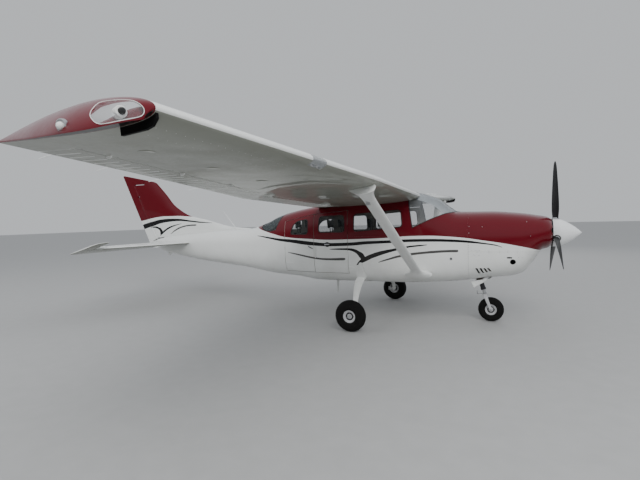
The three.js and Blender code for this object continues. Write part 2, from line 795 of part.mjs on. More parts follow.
function buildStrut(wing) {
  const rows = [
    [0, 400, 116],
    [0.025, 330, 96],
    [0.045, 200, 66],
    [0.07, 158, 54],
    [0.1, strutChord, strutThickness],
    [0.9, strutChord, strutThickness],
    [0.94, 168, 64],
    [0.975, 230, 100],
    [1, 300, 130],
  ];
  const whole = loft(rows.map((row) => strutRing(...row)));
  const tieDownX = atStation(strutHead.station);
  const tieDown = block(tieDownX - 20, tieDownX + 20, 2330, 2370, tieDownHeight, 1745);
  const wingRoom = wing.add(wing.translate([0, 0, -seam]));
  return whole.subtract(wingRoom).subtract(fuselage(0, cabinBackStation, -seam)).add(tieDown);
}

// Tail.
const stabilizerHeight = 1163;
const elevatorHinge = 5890;
const elevatorDroop = 14.5; // degrees down, as it hangs when parked
const elevatorRoot = 150; // half the space left for the tail cone and rudder
const stabilizerTable = [
  [60, 5180, 720, 66],
  [1640, 5560, 340, 44],
  [1762, 5610, 290, 36],
  [1786, 5665, 235, 26],
];

const tailRing = (y, nose, chord, thick) => foilRing(y, nose, stabilizerHeight, chord, 0, thick / chord, 0);

function elevatorLine(y0, y1, radius, endRadius) {
  const on = (y) => [atStation(elevatorHinge), y, stabilizerHeight];
  return rod(on(y0), on(y1), radius, endRadius, 12);
}

function buildStabilizer() {
  const behind = block(-6000, atStation(elevatorHinge), 0, 2000, 1000, 1300);
  const ring = ([y, nose, chord, thick]) => tailRing(y, nose, chord + 60, thick);
  const whole = loft(stabilizerTable.map(ring));
  const core = loft(
    stabilizerTable.slice(0, 2).map(([y, nose, chord, thick]) =>
      tailRing(y * 0.97, nose + 30, chord - 20, thick - 2 * surfaceWall),
    ),
  ).intersect(block(atStation(elevatorHinge - 50), 0, 0, 2000, 1000, 1300));
  return whole
    .subtract(core)
    .subtract(behind)
    .subtract(elevatorLine(0, 1900, 33, 29))
    .subtract(fuselage(cabinBackStation, tailEndStation, -seam))
    .add(elevatorLugs().fixed);
}

const elevatorLugs = () =>
  hingeLugs(
    [0, 1796].map((y) => [atStation(elevatorHinge), y, stabilizerHeight]),
    [0.3, 0.86],
    29,
    48,
  );

// Elevator half, undeflected: y, front and back station, thickness.
const elevatorTable = [
  [elevatorRoot, 5872, 6300, 50],
  [1500, 5874, 6305, 44],
  [1796, 5876, 6302, 38],
];
const hornTable = [
  [1796, 5470, 6302, 38],
  [1900, 5500, 6296, 36],
  [1962, 5560, 6270, 30],
  [1981, 5680, 6200, 16],
];

function elevatorHalf() {
  const ring = ([y, front, back, thick]) => tailRing(y, front, back - front, thick);
  const behind = block(-6000, atStation(elevatorHinge), 0, 2000, 1000, 1300);
  const core = loft(
    elevatorTable.map(([y, front, back, thick]) =>
      tailRing(y * 0.97, front + 20, back - front - 50, thick - 2 * surfaceWall),
    ),
  ).intersect(block(atStation(elevatorHinge + 250), atStation(elevatorHinge + 36), 0, 1700, 1000, 1300));
  const main = loft(elevatorTable.map(ring)).intersect(behind).subtract(core);
  const horn = loft(hornTable.map(ring));
  const lugs = elevatorLugs();
  const half = joined([main, elevatorLine(elevatorRoot, 1797, 25, 21), horn]);
  return half.subtract(lugs.notch).add(lugs.moving);
}

function turnAbout(solid, degrees, point) {
  return solid.translate(point.map((value) => -value)).rotate([0, degrees, 0]).translate(point);
}

function buildElevator() {
  const half = elevatorHalf();
  const tube = elevatorLine(-elevatorRoot - 5, elevatorRoot + 5, 18, 18);
  const whole = joined([half, mirrored(half), tube]);
  return turnAbout(whole, -elevatorDroop, [atStation(elevatorHinge), 0, stabilizerHeight]);
}

// Fin and rudder sections: height, leading and trailing edge station, thickness.
const finTable = [
  [1040, 3860, 6435, 70],
  [1425, 3880, 6631, 84],
  [1440, 4080, 6639, 84],
  [1460, 4300, 6649, 85],
  [1508, 4549, 6674, 86],
  [1613, 4958, 6728, 86],
  [1690, 5330, 6767, 84],
  [1819, 5598, 6834, 82],
  [1936, 5768, 6894, 79],
  [2124, 5936, 6991, 74],
  [2424, 6239, 7145, 64],
  [2700, 6518, 7287, 54],
];
const finOutline = [
  [3870, 1000],
  [6440, 1050],
  [6502, 1187],
  [7185, 2596],
  [7160, 2612],
  [6900, 2560],
  [6300, 2436],
  [6225, 2405],
  [3870, 2405],
];
const finFrontStation = 3900;
const rudderHingeLow = [6196, 1080];
const rudderHingeHigh = [6868, 2400];
const rudderNose = 27;
const rudderTailGap = 20; // behind the tail cone's end, for the rudder's swing
const finCoreOutline = [
  [4200, 1050],
  [6130, 1050],
  [6740, 2360],
  [4200, 2360],
];
const hornGap = 16;
const hornStation = 6560;
const hornHeight = 2400;

function finRing([height, front, back, thick]) {
  const ring = foilRing(0, front, 0, back - front, 0, thick / (back - front), 0);
  return ring.map((point) => new THREE.Vector3(point.x, point.z, height));
}

const rudderPoint = ([station, height]) => [atStation(station), 0, height];
const hingeStationAt = (height) =>
  rudderHingeLow[0] +
  ((height - rudderHingeLow[1]) / (rudderHingeHigh[1] - rudderHingeLow[1])) *
    (rudderHingeHigh[0] - rudderHingeLow[0]);

function rudderRegion(clearance) {
  const hornFloor = hornHeight - clearance;
  return [
    [hingeStationAt(1020), 1020],
    [6700, 1020],
    [7500, 2700],
    [hornStation - clearance, 2700],
    [hornStation - clearance, hornFloor],
    [hingeStationAt(hornFloor), hornFloor],
  ];
}

function buildFin() {
  const whole = loft(finTable.map(finRing)).intersect(sidePrism(finOutline, -100, 100));
  const fixedTrim = sidePrism(rudderRegion(hornGap), -200, 200);
  const low = rudderPoint(rudderHingeLow);
  const high = rudderPoint(rudderHingeHigh);
  const cove = rod(between(low, high, -0.1), high, rudderNose + 9, rudderNose + 7, 12);
  const lugs = hingeLugs([low, high], [0.3, 0.8], rudderNose + 4, rudderNose + 24);
  let fin = whole.subtract(fixedTrim).subtract(cove).add(lugs.fixed);
  const core = loft(
    finTable.map(([height, front, back, thick]) =>
      finRing([height, front + 40, back, thick - 2 * surfaceWall]),
    ),
  ).intersect(sidePrism(finCoreOutline, -100, 100));
  fin = fin.subtract(core).subtract(fuselage(cabinBackStation, tailEndStation, -seam));
  const keep = block(atStation(6900), atStation(finFrontStation), -200, 200, 1270, 2700);
  fin = fin.intersect(keep);

  const rudderBody = whole.intersect(sidePrism(rudderRegion(0), -200, 200));
  const nose = rod(low, between(low, high, 0.992), rudderNose, rudderNose - 4, 12);
  const tailClear = fuselage(cabinBackStation, tailEndStation + rudderTailGap, -6);
  const rudder = joined([rudderBody, nose]).subtract(lugs.notch).add(lugs.moving).subtract(tailClear);
  return { fin, rudder };
}

function buildTailCone() {
  const cone = fuselage(cabinBackStation + seam, tailEndStation, 0);
  const hollow = fuselage(cabinBackStation + 20, tailEndStation - tailWall, tailWall);
  const bulkheadHole = rod([atStation(3600), 0, 1090], [atStation(3700), 0, 1090], 90);
  const skid = block(atStation(5980), atStation(5900), -12, 12, 900, 1000);
  return cone
    .subtract(hollow)
    .subtract(bulkheadHole)
    .subtract(elevatorLine(-1900, 1900, 19.4, 19.4))
    .add(skid);
}

// Landing gear.
const mainTyre = { radius: 220, half: 78, rim: 88, rimHalf: 62 };
const noseTyre = { radius: 178, half: 62, rim: 80, rimHalf: 48 };
const wheelSides = 24;
const axleReach = 106; // from the wheel's middle in to the leg's end

function tyreProfile({ radius, half, rim, rimHalf }) {
  const profile = [];
  const steps = 8;
  const middle = (radius + rim) / 2;
  const reach = (radius - rim) / 2;
  for (let i = 0; i <= steps; i++) {
    const angle = -Math.PI / 2 + (Math.PI * i) / steps;
    const out = Math.cos(angle) ** 0.62;
    const across = Math.sign(angle) * Math.abs(Math.sin(angle)) ** 0.9;
    profile.push([middle - reach + 2 * reach * Math.max(out, 0), half * across]);
  }
  profile[0] = [rim, -rimHalf];
  profile[steps] = [rim, rimHalf];
  profile.push([rim, -rimHalf]);
  return profile;
}

function buildTyre(size, x, y, z) {
  return latheAlongY(tyreProfile(size), wheelSides, x, y, z);
}

function buildRim(size, x, y, z, bore) {
  const outer = size.rim - seam;
  const w = size.rimHalf;
  const profile = [
    [bore, -w * 0.75],
    [bore + 18, -w * 0.75],
    [outer - 14, -w * 0.3],
    [outer - 6, -w],
    [outer, -w],
    [outer, w],
    [outer - 6, w],
    [outer - 14, w * 0.3],
    [bore + 18, w * 0.75],
    [bore, w * 0.75],
    [bore, -w * 0.75],
  ];
  return latheAlongY(profile, wheelSides, x, y, z);
}

const mainAxle = [atStation(mainWheelStation), mainWheelHalfTrack, mainTyre.radius];
const noseAxle = [atStation(noseWheelStation), 0, noseTyre.radius];

// Main leg centre line, as station, y and height, with the leg's width and depth.
const legTable = [
  [1578, 380, 668, 150, 46],
  [1574, 500, 628, 146, 44],
  [1560, 640, 572, 128, 40],
  [1530, 800, 502, 104, 36],
  [1494, 960, 418, 82, 32],
  [1468, 1070, 335, 66, 30],
  [1462, 1112, 262, 60, 30],
  [1472, 1122, 214, 56, 28],
];

function buildLeg() {
  const middle = legTable.map(([station, y, height]) => new THREE.Vector3(atStation(station), y, height));
  const rings = legTable.map(([, , , width, depth], i) => {
    const before = middle[Math.max(i - 1, 0)];
    const after = middle[Math.min(i + 1, middle.length - 1)];
    const along = after.clone().sub(before).normalize();
    const wide = new THREE.Vector3(1, 0, 0).addScaledVector(along, -along.x).normalize();
    const deep = along.clone().cross(wide);
    const ring = [];
    for (let k = 0; k < 12; k++) {
      const angle = (2 * Math.PI * k) / 12;
      const across = (width / 2) * Math.cos(angle);
      const out = (depth / 2) * Math.sin(angle);
      ring.push(middle[i].clone().addScaledVector(wide, across).addScaledVector(deep, out));
    }
    return ring;
  });
  const pastAxle = block(0, 3000, mainWheelHalfTrack - axleReach - seam, 2000, 0, 1000);
  return loft(rings).subtract(fuselage(0, cabinBackStation, -seam)).subtract(pastAxle);
}

function buildAxle() {
  const [x, y, z] = mainAxle;
  const spindle = rod([x, y - 96, z], [x, y + 58, z], 19, 19, 14);
  const flange = rod([x, y - axleReach, z], [x, y - 88, z], 42, 42, 14);
  const caliper = block(x - 96, x - 44, y - axleReach, y - 80, z - 28, z + 34);
  const arm = block(x - 60, x, y - axleReach, y - 92, z - 14, z + 14);
  const cap = rod([x, y + mainTyre.rimHalf * 0.75 + 6, z], [x, y + 60, z], 24, 24, 14);
  return joined([spindle, flange, arm, cap, caliper]);
}

// Nose gear: fixed barrel, and the fork that steers about the barrel's line.
const steerLean = 0.309; // forward per unit down
const steerLine = (height) => [
  noseAxle[0] - steerLean * (height - noseAxle[2]) - 10,
  0,
  height,
];

function buildNoseStrut() {
  const barrel = rod(steerLine(470), steerLine(930), 34, 34, 16);
  const collar = rod(steerLine(900), steerLine(930), 44, 44, 16);
  const upper = block(atStation(20), steerLine(915)[0], -60, 60, 890, 940);
  const lower = block(atStation(20), steerLine(760)[0], -50, 50, 735, 775);
  const bore = rod(steerLine(440), steerLine(960), 24.6, 24.6, 16);
  return joined([barrel, collar, upper, lower]).subtract(bore).intersect(aheadOfFirewall());
}

function buildNoseFork() {
  const piston = rod(steerLine(372), steerLine(700), 24, 24, 16);
  const headTop = steerLine(392);
  const crown = block(headTop[0] - 36, headTop[0] + 36, -88, 88, 366, 404);
  const [ax, , az] = noseAxle;
  const arms = [-1, 1].map((side) =>
    loft([
      [headTop[0], 385, 34],
      [(headTop[0] + ax) / 2, (385 + az) / 2, 30],
      [ax, az, 26],
      [ax + 6, az - 24, 20],
    ].map(([x, z, wide]) => [
      new THREE.Vector3(x - wide, side * 72, z),
      new THREE.Vector3(x + wide, side * 72, z + wide * 0.3),
      new THREE.Vector3(x + wide, side * 86, z + wide * 0.3),
      new THREE.Vector3(x - wide, side * 86, z),
    ])),
  );
  const axle = rod([ax, -92, az], [ax, 92, az], 14, 14, 14);
  const scissors = joined([
    block(steerLine(430)[0] - 112, steerLine(430)[0] - 20, -9, 9, 396, 412),
    block(steerLine(430)[0] - 112, steerLine(430)[0] - 94, -9, 9, 396, 452),
  ]);
  return joined([piston, crown, ...arms, axle, scissors]);
}

// Cowl flap, open as it is parked: a plate with an outer cheek.
const cowlFlapOpen = 26; // degrees down from closed
const cowlFlapHinge = [atStation(cowlFlapFront), 0, 688];

function buildCowlFlap() {
  const gap = 8;
  const [x0, x1] = [atStation(cowlFlapFront) - 10, atStation(cowlFlapBack - 2)];
  const y0 = cowlFlapInner + gap;
  const y1 = cowlFlapOuter - gap;
  const hingeZ = cowlFlapHinge[2];
  const drop = 30; // the closed plate follows the cowl's rising floor
  const plate = loft([y0, y1].map((y) => [
    new THREE.Vector3(x0, y, hingeZ + 2),
    new THREE.Vector3(x0, y, hingeZ - 8),
    new THREE.Vector3(x1, y, hingeZ - drop - 8),
    new THREE.Vector3(x1, y, hingeZ - drop + 2),
  ]));
  const cheek = loft([y1 - 8, y1].map((y) => [
    new THREE.Vector3(x0, y, hingeZ - 6),
    new THREE.Vector3(x1, y, hingeZ - drop - 6),
    new THREE.Vector3(x1, y, hingeZ - drop + 96),
  ]));
  const set = cowlFlapKnuckles();
  const span = cowlFlapOuter - cowlFlapInner - 16;
  const arms = [0.25, 0.75].map((part) => {
    const y = cowlFlapInner + 8 + part * span;
    return block(x0 - 6, cowlFlapHinge[0] - 3, y - 7, y + 7, hingeZ - 7, hingeZ + 1);
  });
  const closed = joined([plate, cheek, ...arms, set.moving]);
  return turnAbout(closed, -cowlFlapOpen, cowlFlapHinge);
}

function cowlFlapKnuckles() {
  const span = cowlFlapOuter - cowlFlapInner - 16;
  const start = [cowlFlapHinge[0], cowlFlapInner + 8, cowlFlapHinge[2]];
  const set = knuckles(start, [0, 1, 0], 7, [span * 0.25, span * 0.75], 16);
  const feet = [0.25, 0.75].flatMap((part) =>
    [-1, 1].map((sign) => {
      const y = start[1] + span * part + sign * 13;
      return block(start[0] - 3, start[0] + 24, y - 4, y + 4, start[2] - 3, start[2] + 24);
    }),
  );
  return { moving: set.moving, fixed: joined([set.fixed, ...feet]) };
}

// Interior.
function buildSeat(station, side, width) {
  const x = atStation(station);
  const y0 = side - width / 2;
  const y1 = side + width / 2;
  const base = block(x - 210, x + 190, y0 + 40, y1 - 40, cabinFloorHeight + seam, 890);
  const cushion = sidePrism(
    [
      [station - 250, 885],
      [station + 240, 880],
      [station + 240, 980],
      [station - 200, 1010],
      [station - 250, 985],
    ],
    y0,
    y1,
  );
  const back = sidePrism(
    [
      [station + 170, 970],
      [station + 270, 930],
      [station + 365, 1345],
      [station + 350, 1372],
      [station + 285, 1366],
    ],
    y0 + 8,
    y1 - 8,
  );
  const rest = sidePrism(
    [
      [station + 300, 1400],
      [station + 362, 1400],
      [station + 385, 1572],
      [station + 318, 1578],
    ],
    (y0 + y1) / 2 - 120,
    (y0 + y1) / 2 + 120,
  );
  const posts = [-46, 46].map((across) => {
    const y = (y0 + y1) / 2 + across;
    return rod([x - 322, y, 1340], [x - 334, y, 1420], 8, 8, 8);
  });
  return joined([base, cushion, back, rest, ...posts]);
}

function buildPanel() {
  const slab = sidePrism(
    [
      [395, 1220],
      [425, 1220],
      [425, 1500],
      [380, 1560],
      [240, 1585],
      [240, 1555],
      [380, 1525],
    ],
    -700,
    700,
  );
  const yokes = [-1, 1].flatMap((side) => {
    const middle = [atStation(620), side * 255, 1330];
    const shaft = rod([atStation(400), side * 255, 1350], middle, 12, 12, 10);
    const grip = new THREE.TorusGeometry(105, 11, 6, 12).rotateY(Math.PI / 2);
    const spoke = block(middle[0] - 9, middle[0] + 9, middle[1] - 104, middle[1] + 104, 1318, 1342);
    return [shaft, solidOf(grip.translate(...middle)), spoke];
  });
  return joined([slab.intersect(fuselage(160, 450, cabinWall + seam)), ...yokes]);
}

// Exhaust stack under the cowl, and aerials.
function exhaustTube(radius) {
  const bends = [
    [-350, -110, 980],
    [-250, -110, 800],
    [-150, -110, 660],
    [-60, -110, 560],
  ].map(([station, y, height]) => [atStation(station), y, height]);
  return joined(bends.slice(1).map((end, i) => rod(bends[i], end, radius, radius, 12)));
}

function buildExhaust() {
  const tail = exhaustTube(exhaustRadius);
  return tail.subtract(block(0, 5000, -500, 500, engineSumpHeight - seam, 2000));
}

function buildWhip() {
  const foot = [atStation(4155), -75, 1395];
  const tip = [atStation(4472), -75, 1768];
  return joined([rod(foot, tip, 6, 3, 8), rod(foot, [atStation(4170), -75, 1420], 20, 14, 12)]).subtract(
    fuselage(cabinBackStation, tailEndStation, -seam),
  );
}

function buildBellyBlade() {
  return sidePrism(
    [
      [2125, 570],
      [2185, 570],
      [2168, 322],
      [2150, 322],
    ],
    -6,
    6,
  ).subtract(fuselage(0, cabinBackStation, -seam));
}

// Finishes, from the photograph.
const finishes = {
  red: { color: 0x5a0a14, roughness: 0.25, metalness: 0.1 },
  white: { color: 0xe4e6e4, roughness: 0.3, metalness: 0.05 },
  black: { color: 0x141414, roughness: 0.5, metalness: 0.1 },
  steel: { color: 0x8e9196, roughness: 0.4, metalness: 0.9 },
  castMetal: { color: 0x5b5d60, roughness: 0.6, metalness: 0.7 },
  rubber: { color: 0x161616, roughness: 0.9, metalness: 0 },
  glass: { color: 0x9fb3b8, roughness: 0.05, metalness: 0, transparent: true, opacity: 0.35 },
  leather: { color: 0x3a3836, roughness: 0.75, metalness: 0 },
};

const materials = Object.fromEntries(
  Object.entries(finishes).map(([name, values]) => [name, new THREE.MeshStandardMaterial(values)]),
);

const aircraft = new THREE.Group();

function place(name, solid, finish) {
  const { vertProperties, triVerts } = solid.getMesh();
  const geometry = new THREE.BufferGeometry();
  geometry.setAttribute("position", new THREE.BufferAttribute(vertProperties, 3));
  geometry.setIndex(new THREE.BufferAttribute(triVerts, 1));
  geometry.computeVertexNormals();
  const mesh = new THREE.Mesh(geometry, materials[finish]);
  mesh.name = name;
  aircraft.add(mesh);
}

function placePair(name, solid, finish) {
  for (const [word, side] of [["left", 1], ["right", -1]])
    place(`${name}_${word}`, forSide(solid, side), finish);
}

const cabin = buildCabin();
place("cabin_lower", cabin.lower, "white");
place("cabin_upper", cabin.upper, "red");
place("windshield", glassPane(windshieldOutline, 0, 0, 1100), "glass");
place("rear_window", glassPane(rearWindowOutline, 0, 3000, cabinBackStation - 1), "glass");
place("window_right_front", glassPane(frontWindowOutline, -1, 700, 1800), "glass");
place("window_left_middle", glassPane(middleWindowOutline, 1, 1700, 2400), "glass");
place("window_left_rear", glassPane(rearSideWindowOutline, 1, 2300, 2900), "glass");

place("pilot_door", buildDoor(pilotDoorOutline, frontWindowOutline, 1, doorHinges.pilot), "red");
place("pilot_door_window", glassPane(frontWindowOutline, 1, 700, 1800), "glass");
place(
  "cargo_door_front",
  buildDoor(cargoFrontDoorOutline, middleWindowOutline, -1, doorHinges.cargoFront),
  "red",
);
place("cargo_front_window", glassPane(middleWindowOutline, -1, 1700, 2400), "glass");
place(
  "cargo_door_rear",
  buildDoor(cargoRearDoorOutline, rearSideWindowOutline, -1, doorHinges.cargoRear),
  "red",
);
place("cargo_rear_window", glassPane(rearSideWindowOutline, -1, 2300, 2900), "glass");

const cowl = buildCowl();
place("cowl_upper", cowl.upper, "red");
const cowlKnuckles = cowlFlapKnuckles();
const lowerCowl = joined([cowl.lower, cowlKnuckles.fixed, mirrored(cowlKnuckles.fixed)]);
place("cowl_lower", lowerCowl, "white");
place("firewall", buildFirewall(), "steel");
place("engine_block", buildEngine(), "castMetal");
place("exhaust_stack", buildExhaust(), "steel");
place("instrument_panel", buildPanel(), "black");
place("seat_front_left", buildSeat(1130, 260, 440), "leather");
place("seat_front_right", buildSeat(1130, -260, 440), "leather");
place("seat_middle", buildSeat(1830, 0, 960), "leather");
place("seat_rear", buildSeat(2460, 0, 760), "leather");

place("spinner", buildSpinner(), "white");
for (const index of [0, 1, 2]) place(`blade_${index + 1}`, buildBlade(index), "black");

const wing = buildWing();
placePair("wing", wing.fixed, "white");
placePair("aileron", wing.aileron, "white");
placePair("flap", wing.flap, "white");
placePair("wing_tip", buildWingTip(), "red");
placePair("strut", buildStrut(wholeWing()), "white");

place("tail_cone", buildTailCone(), "white");
const finAndRudder = buildFin();
place("fin", finAndRudder.fin, "red");
place("rudder", finAndRudder.rudder, "red");
placePair("stabilizer", buildStabilizer(), "white");
place("elevator", buildElevator(), "white");
place("antenna_whip", buildWhip(), "white");
place("antenna_belly", buildBellyBlade(), "white");

placePair("gear_leg", buildLeg(), "white");
placePair("axle", buildAxle(), "steel");
placePair("main_tyre", buildTyre(mainTyre, ...mainAxle), "rubber");
placePair("main_rim", buildRim(mainTyre, ...mainAxle, 19.5), "steel");
place("nose_strut", buildNoseStrut(), "steel");
place("nose_fork", buildNoseFork(), "white");
place("nose_tyre", buildTyre(noseTyre, ...noseAxle), "rubber");
place("nose_rim", buildRim(noseTyre, ...noseAxle, 14.5), "steel");
placePair("cowl_flap", buildCowlFlap(), "white");

export default aircraft;
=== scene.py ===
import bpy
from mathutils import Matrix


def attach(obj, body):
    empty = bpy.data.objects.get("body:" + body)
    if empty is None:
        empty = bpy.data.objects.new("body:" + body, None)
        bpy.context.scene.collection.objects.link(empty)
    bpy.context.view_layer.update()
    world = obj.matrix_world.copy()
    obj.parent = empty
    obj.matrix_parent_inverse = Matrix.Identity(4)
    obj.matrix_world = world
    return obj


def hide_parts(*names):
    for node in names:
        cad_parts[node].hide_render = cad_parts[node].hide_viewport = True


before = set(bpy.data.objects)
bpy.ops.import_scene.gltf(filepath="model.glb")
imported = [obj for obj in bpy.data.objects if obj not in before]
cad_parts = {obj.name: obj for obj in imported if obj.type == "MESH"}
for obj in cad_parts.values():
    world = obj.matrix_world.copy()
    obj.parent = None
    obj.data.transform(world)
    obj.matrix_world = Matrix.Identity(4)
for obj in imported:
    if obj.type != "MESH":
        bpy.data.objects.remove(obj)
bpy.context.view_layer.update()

import math

import bmesh
import bpy
import numpy as np
from mathutils import Matrix, Quaternion, Vector
from mathutils.bvhtree import BVHTree

# Sizes are in millimetres, as in the part's source, and become metres when a mesh is made.
# A station is the distance behind the firewall's front face, negative ahead of it.
firewallX = 2880


def xAt(station):
    return firewallX - station


def newObject(name, data):
    piece = bpy.data.objects.new(name, data)
    bpy.context.scene.collection.objects.link(piece)
    return piece


def turns(count, more=0):
    # even turns around a circle
    return [2 * math.pi * k / count for k in range(count + more)]


# Camera and stage
cameraSettings = {"place": (3.407, -6.600, 1.570), "yaw": -24.495, "pitch": -2.875, "roll": -1.346, "lens": 23.393}
stageSettings = {"floorSize": 160.0, "floorColour": (0.42, 0.42, 0.415), "horizon": (0.13, 0.135, 0.135, 1),
                 "zenith": (0.74, 0.77, 0.81, 1), "skyRise": (0.08, 0.24), "backdrop": (0.58, 0.60, 0.62, 1)}

print("stage: camera, floor and lights")
yaw, pitch, roll = (math.radians(cameraSettings[key]) for key in ("yaw", "pitch", "roll"))
lookDirection = Vector((math.sin(yaw) * math.cos(pitch), math.cos(yaw) * math.cos(pitch), math.sin(pitch)))
levelRight = Vector((math.cos(yaw), -math.sin(yaw), 0))
levelUp = levelRight.cross(lookDirection)
cameraRight = levelRight * math.cos(roll) + levelUp * math.sin(roll)
cameraUp = levelUp * math.cos(roll) - levelRight * math.sin(roll)
cameraData = bpy.data.cameras.new("photoCamera")
cameraData.lens = cameraSettings["lens"]
cameraData.sensor_width = 36
cameraData.clip_end = 300
camera = newObject("photoCamera", cameraData)
cameraTurn = Matrix((cameraRight, cameraUp, -lookDirection)).transposed().to_4x4()
camera.matrix_world = Matrix.Translation(cameraSettings["place"]) @ cameraTurn
bpy.context.scene.camera = camera

lightTable = [  # name, place, aimed at, size, watts
    ("keyLight", (7.0, -10.0, 9.0), (0.8, 0, 1.2), 7.0, 1050),
    ("fillLight", (-9.0, -8.0, 5.0), (-1.5, 0, 1.3), 8.0, 240),
    ("farLight", (1.0, 12.0, 9.0), (0, 0, 1.5), 9.0, 400),
]
for name, place, aim, size, watts in lightTable:
    lamp = bpy.data.lights.new(name, "AREA")
    lamp.size = size
    lamp.energy = watts
    lampObject = newObject(name, lamp)
    lampTurn = (Vector(aim) - Vector(place)).to_track_quat("-Z", "Y").to_matrix().to_4x4()
    lampObject.matrix_world = Matrix.Translation(place) @ lampTurn
    lampObject.visible_glossy = False  # gloss shows the plain sky only


# Shader helpers
def feed(tree, socket, value):
    if isinstance(value, bpy.types.NodeSocket):
        tree.links.new(value, socket)
    elif value is not None:
        socket.default_value = value


def feedAll(tree, node, values):
    for label, value in values.items():
        feed(tree, node.inputs[label], value)


def addNode(tree, kind, inputs=None, **settings):
    # a node with its settings; inputs holds a value or another node's socket for each label or number
    node = tree.nodes.new(kind)
    for name, value in settings.items():
        setattr(node, name, value)
    feedAll(tree, node, inputs or {})
    return node


def calculate(tree, operation, first, second):
    return addNode(tree, "ShaderNodeMath", {0: first, 1: second}, operation=operation).outputs[0]


def mixColour(tree, factor, first, second, blend="MIX"):
    inputs = {"Factor": factor, 6: first, 7: second}
    return addNode(tree, "ShaderNodeMix", inputs, data_type="RGBA", blend_type=blend).outputs[2]


def ramp(tree, value, low, high, fromLow=0.0, fromHigh=1.0):
    inputs = {"Value": value, "From Min": fromLow, "From Max": fromHigh, "To Min": low, "To Max": high}
    return addNode(tree, "ShaderNodeMapRange", inputs).outputs["Result"]


def noise(tree, vector, scale, detail=2.0, roughness=0.5):
    inputs = {"Vector": vector, "Scale": scale, "Detail": detail, "Roughness": roughness}
    return addNode(tree, "ShaderNodeTexNoise", inputs).outputs["Fac"]


def addBump(tree, height, distance, strength=None, normal=None):
    inputs = {"Height": height, "Distance": distance, "Strength": strength, "Normal": normal}
    return addNode(tree, "ShaderNodeBump", inputs).outputs[0]


def greyColour(tree, value):
    return addNode(tree, "ShaderNodeCombineColor", {0: value, 1: value, 2: value}).outputs[0]


def splitPlace(tree, place):
    return addNode(tree, "ShaderNodeSeparateXYZ", {0: place}).outputs


def startGroup(name, inputs, outputs, kind="ShaderNodeTree"):
    group = bpy.data.node_groups.new(name, kind)
    for label, socketKind, value in inputs:
        socket = group.interface.new_socket(name=label, in_out="INPUT", socket_type=socketKind)
        if value is not None:
            socket.default_value = value
    for label, socketKind in outputs:
        group.interface.new_socket(name=label, in_out="OUTPUT", socket_type=socketKind)
    return group, addNode(group, "NodeGroupInput"), addNode(group, "NodeGroupOutput")


def useGroup(tree, group, **values):
    node = addNode(tree, "ShaderNodeGroup", node_tree=group)
    feedAll(tree, node, values)
    return node


def startMaterial(name, **fixed):
    material = bpy.data.materials.new(name)
    material.use_nodes = True
    tree = material.node_tree
    shader = tree.nodes["Principled BSDF"]
    for label, value in fixed.items():
        shader.inputs[label].default_value = value
    where = addNode(tree, "ShaderNodeTexCoord").outputs["Object"]
    return material, tree, shader, where


def rgb(red, green, blue):
    return (red, green, blue, 1.0)


world = bpy.data.worlds.new("softSky")
bpy.context.scene.world = world
world.use_nodes = True
sky = world.node_tree
skyHeight = splitPlace(sky, addNode(sky, "ShaderNodeTexCoord").outputs["Generated"])["Z"]
skyRise = ramp(sky, skyHeight, 0.0, 1.0, *stageSettings["skyRise"])
gradient = mixColour(sky, skyRise, stageSettings["horizon"], stageSettings["zenith"])
skyPath = addNode(sky, "ShaderNodeLightPath")
seen = calculate(sky, "MAXIMUM", skyPath.outputs["Is Camera Ray"], skyPath.outputs["Is Transmission Ray"])
backdrop = mixColour(sky, seen, gradient, stageSettings["backdrop"])  # seen past the part and through its glass
feed(sky, sky.nodes["Background"].inputs["Color"], backdrop)


# Effects that several materials share
def makeDustGroup():
    # cloudy dirt that gathers low on the object, as a mask
    group, start, end = startGroup(
        "dustAndGrime",
        [("Where", "NodeSocketVector", None), ("Scale", "NodeSocketFloat", 3.0), ("Amount", "NodeSocketFloat", 0.2),
         ("Low", "NodeSocketFloat", 0.2), ("High", "NodeSocketFloat", 1.4)],
        [("Mask", "NodeSocketFloat"), ("Gloss Loss", "NodeSocketFloat")],
    )
    height = splitPlace(group, start.outputs["Where"])["Z"]
    height = ramp(group, height, 1.0, 0.02, start.outputs["Low"], start.outputs["High"])
    clouds = noise(group, start.outputs["Where"], start.outputs["Scale"], 5.0, 0.62)
    patch = ramp(group, clouds, 0.0, 1.0, 0.38, 0.78)
    mask = calculate(group, "MULTIPLY", calculate(group, "MULTIPLY", patch, height), start.outputs["Amount"])
    fine = noise(group, start.outputs["Where"], 38.0, 3.0)
    loss = calculate(group, "MULTIPLY", calculate(group, "ADD", mask, 0.15), fine)
    feedAll(group, end, {"Mask": mask, "Gloss Loss": loss})
    return group


def makeGrainGroup():
    # fine surface grain: a height for a Bump and a small change of shade
    group, start, end = startGroup(
        "surfaceGrain",
        [("Where", "NodeSocketVector", None), ("Scale", "NodeSocketFloat", 400.0), ("Contrast", "NodeSocketFloat", 0.2)],
        [("Height", "NodeSocketFloat"), ("Shade", "NodeSocketColor")],
    )
    grain = noise(group, start.outputs["Where"], start.outputs["Scale"], 3.0)
    low = calculate(group, "SUBTRACT", 1.0, start.outputs["Contrast"])
    shade = ramp(group, grain, low, 1.0, 0.3, 0.7)
    feedAll(group, end, {"Height": grain, "Shade": greyColour(group, shade)})
    return group


